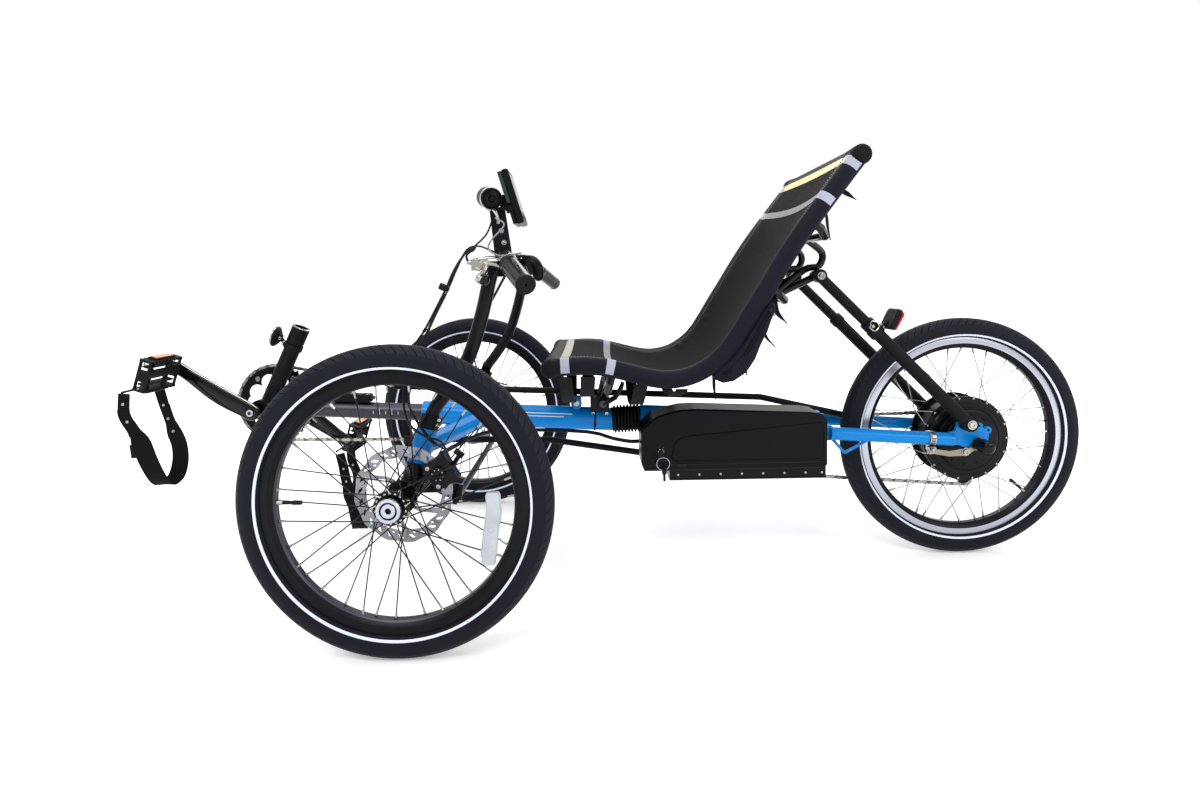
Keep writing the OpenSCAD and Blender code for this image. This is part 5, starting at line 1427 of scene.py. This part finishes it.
# Lock, key and ring
bm = bmesh.new()
lock = sideways(443, -112, 7)
face_of_lock = [(8.8, -0.5), (8.8, 1.0), (7.6, 1.6), (7.2, 5.4), (6.4, 6.2), (2.4, 6.2), (2.2, 5.2), (0, 5.2)]
revolve(bm, lock, face_of_lock, 24, zone=2)
revolve(bm, lock, [(4.6, 5.8), (5.2, 6.3), (4.6, 6.8)], 20)
key = [(-2, 12), (2, 12), (5.6, 6), (6.2, -4), (3, -9), (-3, -9), (-6.2, -4), (-5.6, 6)]
slab(bm, sideways(443, -118.5, -3), key, -1.2, 1.6, 1, 0.8)
ring = [Vector((446.5 + c, -119.5 - s * 1.2 / 12.6, s - 17)) for c, s in circle(12.6, 32)]
pipe(bm, ring + ring[:1], 1.0, 8, 0, up=(0, 1, 0))
tag = [(-4.8, 2), (-3, 6), (3, 6), (4.8, 2), (4.4, -6), (2.4, -9), (2.4, -20), (0, -22), (-2.4, -20),
       (-2.4, -9), (-4.4, -6)]
slab(bm, turned((448.5, -119.8, -30), (0, -1, 0.03), (1, 0, 0)), tag, -1.2, 1.2, 1, 0.6)
port = [(4.6, -0.3), (4.6, 0.9), (3.2, 1.1), (3.0, -0.2), (0, -0.2)]
revolve(bm, turned((430, -112, -14), (0, -1, 0)), port, 18, zone=2)
piece(bm, "battery_lock_and_key", "frame", (STAINLESS, RUBBER, GLOSS_PLASTIC_AND_HOLE_SHADE))

# Telescoping struts' clips and bolts: both sides, and gloss black cups in the struts' holes as painted shade
TOP = Vector((761, 0, 343))
BOTTOM = Vector((1058, 0, 44))
DOWN = (BOTTOM - TOP).normalized()
bm = bmesh.new()
for side in (-1, 1):
    y = side * STRUT_Y
    for p, r in ((TOP, 5.2), (BOTTOM, 6.6)):
        place = sideways(p.x, y + side * 13.4, p.z, side)
        revolve(bm, place, [(r + 2.6, -0.5), (r + 2.6, 0.9), (r, 0.9)], 20, zone=1)
        revolve(bm, place, [(r, 0.9), (r, 3.4), (r - 1, 4.4), (r * 0.5, 4.4), (r * 0.45, 2.4), (0, 2.4)], 18)
    # Spring clip: a wire loop around the lower tube with its pin through the holes
    c = TOP.lerp(BOTTOM, 0.335) + Vector((0, y, 0))
    across = Vector((-DOWN.z, 0, DOWN.x))
    wire = [c + Vector((0, side * out, 0)) + DOWN * down + across * over for out, down, over in (
        (15.2, -4, -3), (15.8, -9, 5), (14.8, 0, 11), (15.2, 9, 8), (15.8, 9, -4), (15.2, -2, -6))]
    pipe(bm, smooth_line(wire + wire[:1], 5), 1.3, 8)
    stick(bm, c + Vector((0, side * 12, 0)), c + Vector((0, side * 17.5, 0)), 3.4, 12)
    lip = turned(TOP.lerp(BOTTOM, 0.31) + Vector((0, y, 0)), DOWN)
    revolve(bm, lip, [(12.4, -0.6), (13.6, -0.2), (14.2, 1.4), (14.2, 16), (13.4, 18), (12.6, 18.4)], 28,
            zone=2)
    # Painted shade: each eyelet is a rim around a closed gloss black cup, a dark disc put in a hole of the
    # strut where there is only shade
    eyelet_and_hole_shade = [(2.5, -0.4), (3.3, 0.4), (3.3, 0.7), (2.5, 0.5), (2.3, -2.5), (0, -2.5)]
    for k in range(1, 5):
        hole = TOP.lerp(BOTTOM, 0.06 * k) + Vector((0, y, 0))
        for way in (-1, 1):
            revolve(bm, turned(hole + Vector((0, way * 9.6, 0)), (0, way, 0)), eyelet_and_hole_shade, 14, zone=3)
piece(bm, "strut_clips", "frame", (POLISHED_AND_PAINTED_HIGHLIGHT, STAINLESS, MATT_BLACK, GLOSS_PLASTIC_AND_HOLE_SHADE))

# Tail light: a band on the strut, a bracket, a black body and a red lens
bm = bmesh.new()
c = TOP.lerp(BOTTOM, 0.375) + Vector((0, -STRUT_Y, 0))
hoop(bm, turned(c - DOWN * 8, DOWN), 12.6, 15.6, 16, (0.6, 1))
for d in (-4, 4):
    bolt = c + Vector((10, 0, 12)) + DOWN * d
    stick(bm, bolt - Vector((0, 8, 0)), bolt + Vector((0, 8, 0)), 2.2, 10, 2)
pipe(bm, line_from(c, [(8, 0, 8), (18, 0, 13), (26, 0, 22)], 4), 4.6, 12)
tilt = radians(26)
nose = Vector((cos(tilt), 0, -sin(tilt)))
place = turned(c + Vector((32, 0, 24)), nose, (0, 1, 0))
outline = [(-20, -21), (20, -21), (24, -17), (25, -8), (25, 8), (24, 17), (20, 21), (-20, 21), (-24, 17),
           (-25, 8), (-25, -8), (-24, -17)]
slab(bm, place, outline, -7, 4.6, 0, 2.2)
slab(bm, place, [(x * 0.94, y * 0.94) for x, y in outline], 4.2, 9.6, 1, 2.4)
for y in (-11, 0, 11):
    slab(bm, place, [(-15, y - 3.4), (15, y - 3.4), (15, y + 3.4), (-15, y + 3.4)], 9.2, 10.0, 1, 0.4)
piece(bm, "strut_tail_light", "frame", (MATT_PLASTIC, RED, ZINC), ("tail_light",), 30)

# Steel hose clamp on the left stay, the torque arm's bolts, and caps on the axle's ends
bm = bmesh.new()
stay_a, stay_b = Vector((787, -STAY_Y, 27)), Vector((1033, -STAY_Y, 10))
band = stay_a.lerp(stay_b, (988 - stay_a.x) / (stay_b.x - stay_a.x))
way = (stay_b - stay_a).normalized()
hoop(bm, turned(band - way * 6, way), 13.2, 15.9, 12, (0.3, 0.8), 36)
for k in range(14):
    a = radians(120 + k * 12)
    u = Vector((0, cos(a), sin(a)))
    block(bm, turned(band + u * 16.0, u, way), (7.6, 1.2, 0.8), 2, 0.2)
block(bm, turned(band + Vector((-1, -6, -19)), (0, 0, -1), (1, 0, 0)), (13, 16, 9), 0, 1.4)
stick(bm, band + Vector((-1, -18, -20)), band + Vector((-1, 6, -20)), 3.8, 14, 1)
hexagon(bm, turned(band + Vector((-1, -18, -20)), (0, -1, 0)), 5.2, 3.4, 1)
for x, z, r in ((1058, -15, 6.0), (988, -12, 4.4)):
    place = sideways(x, TORQUE_ARM_Y, z)
    revolve(bm, place, [(r + 2.2, 0), (r + 2.2, 1.0), (r, 1.0)], 20, zone=1)
    hexagon(bm, place @ moved(0, 0, 1), r, 3.2, 1)
piece(bm, "stay_hose_clamp", "frame", (STAINLESS, ZINC, BLACK_STEEL))

# Rubber boots over the axle's nuts
bm = bmesh.new()
boot = [(11.2, 0), (13.6, 0.4), (13.9, 2), (13.4, 8), (12.6, 12), (12.4, 22), (11.6, 26), (9, 28.2),
        (0, 28.8)]
for side, out in ((-1, STAY_Y + 12), (1, 81.5)):
    revolve(bm, sideways(REAR_AXLE_X, side * out, 0, side), boot, 28)
piece(bm, "axle_boots", "frame", (GLOSS_PLASTIC_AND_HOLE_SHADE,), angle=40)

# Bellows: round folds over the spring between the two halves of the frame
bm = bmesh.new()
a, b = Vector((354, 0, 48.5)), Vector((410, 0, 51))
length = (b - a).length
profile = [(25, -3)]
for k in range(FOLDS):
    for f, r in ((0.12, 25.4), (0.3, 29.2), (0.5, 30.0), (0.7, 29.2), (0.88, 25.4), (1.0, 24.6)):
        profile.append((r, length * (k + f) / FOLDS))
profile.append((25, length + 3))
revolve(bm, turned(a, b - a), profile, 40)
piece(bm, "rubber_bellows", "frame", (RUBBER,), ("suspension_bellows",), 60)

# Barrel clamp on the main tube, its bolt heads, the zip tie and the seat clamp's lever
bm = bmesh.new()
barrel_z = tube_z(277) + 33.5
for side in (-1, 1):
    place = sideways(277, side * 20, barrel_z, side)
    revolve(bm, place, [(11.5, -0.2), (11.6, 0.8), (10.4, 1.4), (7.4, 1.4), (7.2, -1), (7.0, -4)], 24)
    revolve(bm, place, [(6.8, -3.4), (6.8, -1.2), (6.0, -0.6), (3.2, -0.6), (3.0, -2.6), (0, -2.6)], 18,
            zone=1)
z = tube_z(315)
tie = [(24, 0), (25.5, 0.2), (25.5, 3), (24, 3.2)]
revolve(bm, turned((313.6, 0, z), (1, 0, -0.055), (0, 0, 1)), tie, 40, closed=True, zone=2)
block(bm, turned((315, -24, z - 10), (0, -1, -0.4), (1, 0, 0)), (5, 6, 4), 2, 0.8)
lever = line_from(Vector((0, 0, z)), [(333, -30, 36), (346, -32, 44), (360, -34, 52), (370, -34, 68),
                                      (374, -34, 82)], 5)
pipe(bm, lever, [5.4 - 0.06 * i for i in range(21)], 14, 3, up=(0, 1, 0), flat=0.75)
stick(bm, (333, -34, z + 36), (333, -24, z + 36), 8, 18, 3)
stick(bm, (333, 22, z + 36), (333, 30, z + 36), 7.4, 12, 3)
for x in (312, 340):
    for y in (-17.2, 17.2):
        hexagon(bm, turned((x, y, z + 14), (0, 1 if y > 0 else -1, 0)), 4.0, 3.0, 1)
piece(bm, "main_tube_fittings", "frame", (BLUE, STAINLESS, MATT_PLASTIC, GRAPHITE))

# Jockey wheels' teeth and the derailleur's bolts
bm = bmesh.new()
for x, z in JOCKEYS:
    teeth = [(12, -1), (16.6, -0.8), (16.6, 0.8), (12, 1)]
    revolve(bm, sideways(x, CHAIN_Y, z, 1), teeth, 44, closed=True, wave=lambda a: 1 + 0.035 * cos(11 * a))
    for side in (-1, 1):
        hexagon(bm, turned((x, CHAIN_Y + side * 6.5, z), (0, side, 0)), 4.2, 2.4, 1)
piece(bm, "jockey_wheels", "frame", (MATT_PLASTIC, ZINC))

# ---- Floor, light and background ----

floor_mesh = bmesh.new()
bmesh.ops.create_grid(floor_mesh, x_segments=1, y_segments=1, size=8)
floor_data = bpy.data.meshes.new("floor")
floor_mesh.to_mesh(floor_data)
floor = bpy.data.objects.new("floor", floor_data)
bpy.context.scene.collection.objects.link(floor)
floor.location.z = -0.0005
floor_paper = bpy.data.materials.new("floor_paper")
floor_paper.use_nodes = True
tree = floor_paper.node_tree
shader = tree.nodes["Principled BSDF"]
shader.inputs["Base Color"].default_value = tint("f2f2f2")
shader.inputs["Roughness"].default_value = 0.9
shader.inputs["Emission Color"].default_value = (1, 1, 1, 1)
# Away from the object the floor runs out into plain white
place = add(tree, "NewGeometry").outputs["Position"]
away = add(tree, "VectorMath", {0: place, 1: (0, 0, 0)}, operation="DISTANCE").outputs["Value"]
reach = {"Value": away, "From Min": 0.95, "From Max": 1.7}
far = add(tree, "MapRange", reach, interpolation_type="SMOOTHSTEP").outputs["Result"]
tree.links.new(between(tree, far, 0.3, 1.0), shader.inputs["Emission Strength"])
floor_data.materials.append(floor_paper)

world = bpy.data.worlds.new("studio")
bpy.context.scene.world = world
world.use_nodes = True
tree = world.node_tree
backdrop = tree.nodes["Background"]
path = add(tree, "LightPath").outputs
seen = path["Is Camera Ray"]
for ray in ("Is Glossy Ray", "Is Transmission Ray"):
    seen = maths(tree, "MAXIMUM", seen, path[ray])
strength = between(tree, seen, 0.5, 1.0)
backdrop.inputs["Color"].default_value = (1, 1, 1, 1)
tree.links.new(strength, backdrop.inputs["Strength"])


def lamp(name, place, target, size, watts):
    """A soft box that lights a target."""
    data = bpy.data.lights.new(name, "AREA")
    data.shape = "RECTANGLE"
    data.size, data.size_y = size
    data.energy = watts
    made = bpy.data.objects.new(name, data)
    bpy.context.scene.collection.objects.link(made)
    made.location = place
    made.rotation_mode = "QUATERNION"
    made.rotation_quaternion = (Vector(target) - Vector(place)).to_track_quat("-Z", "Y")


lamp("key", (-1.2, -2.6, 3.0), (0, 0, 0.3), (2.2, 1.2), 70)
lamp("fill", (2.4, -2.2, 1.8), (0.2, 0, 0.3), (1.8, 1.4), 35)
lamp("back", (0.4, 2.8, 2.6), (0, 0, 0.4), (3.0, 1.2), 45)
lamp("overhead", (0, 0, 3.2), (0, 0, 0), (2.6, 1.6), 40)

bpy.context.scene.view_settings.view_transform = "Standard"
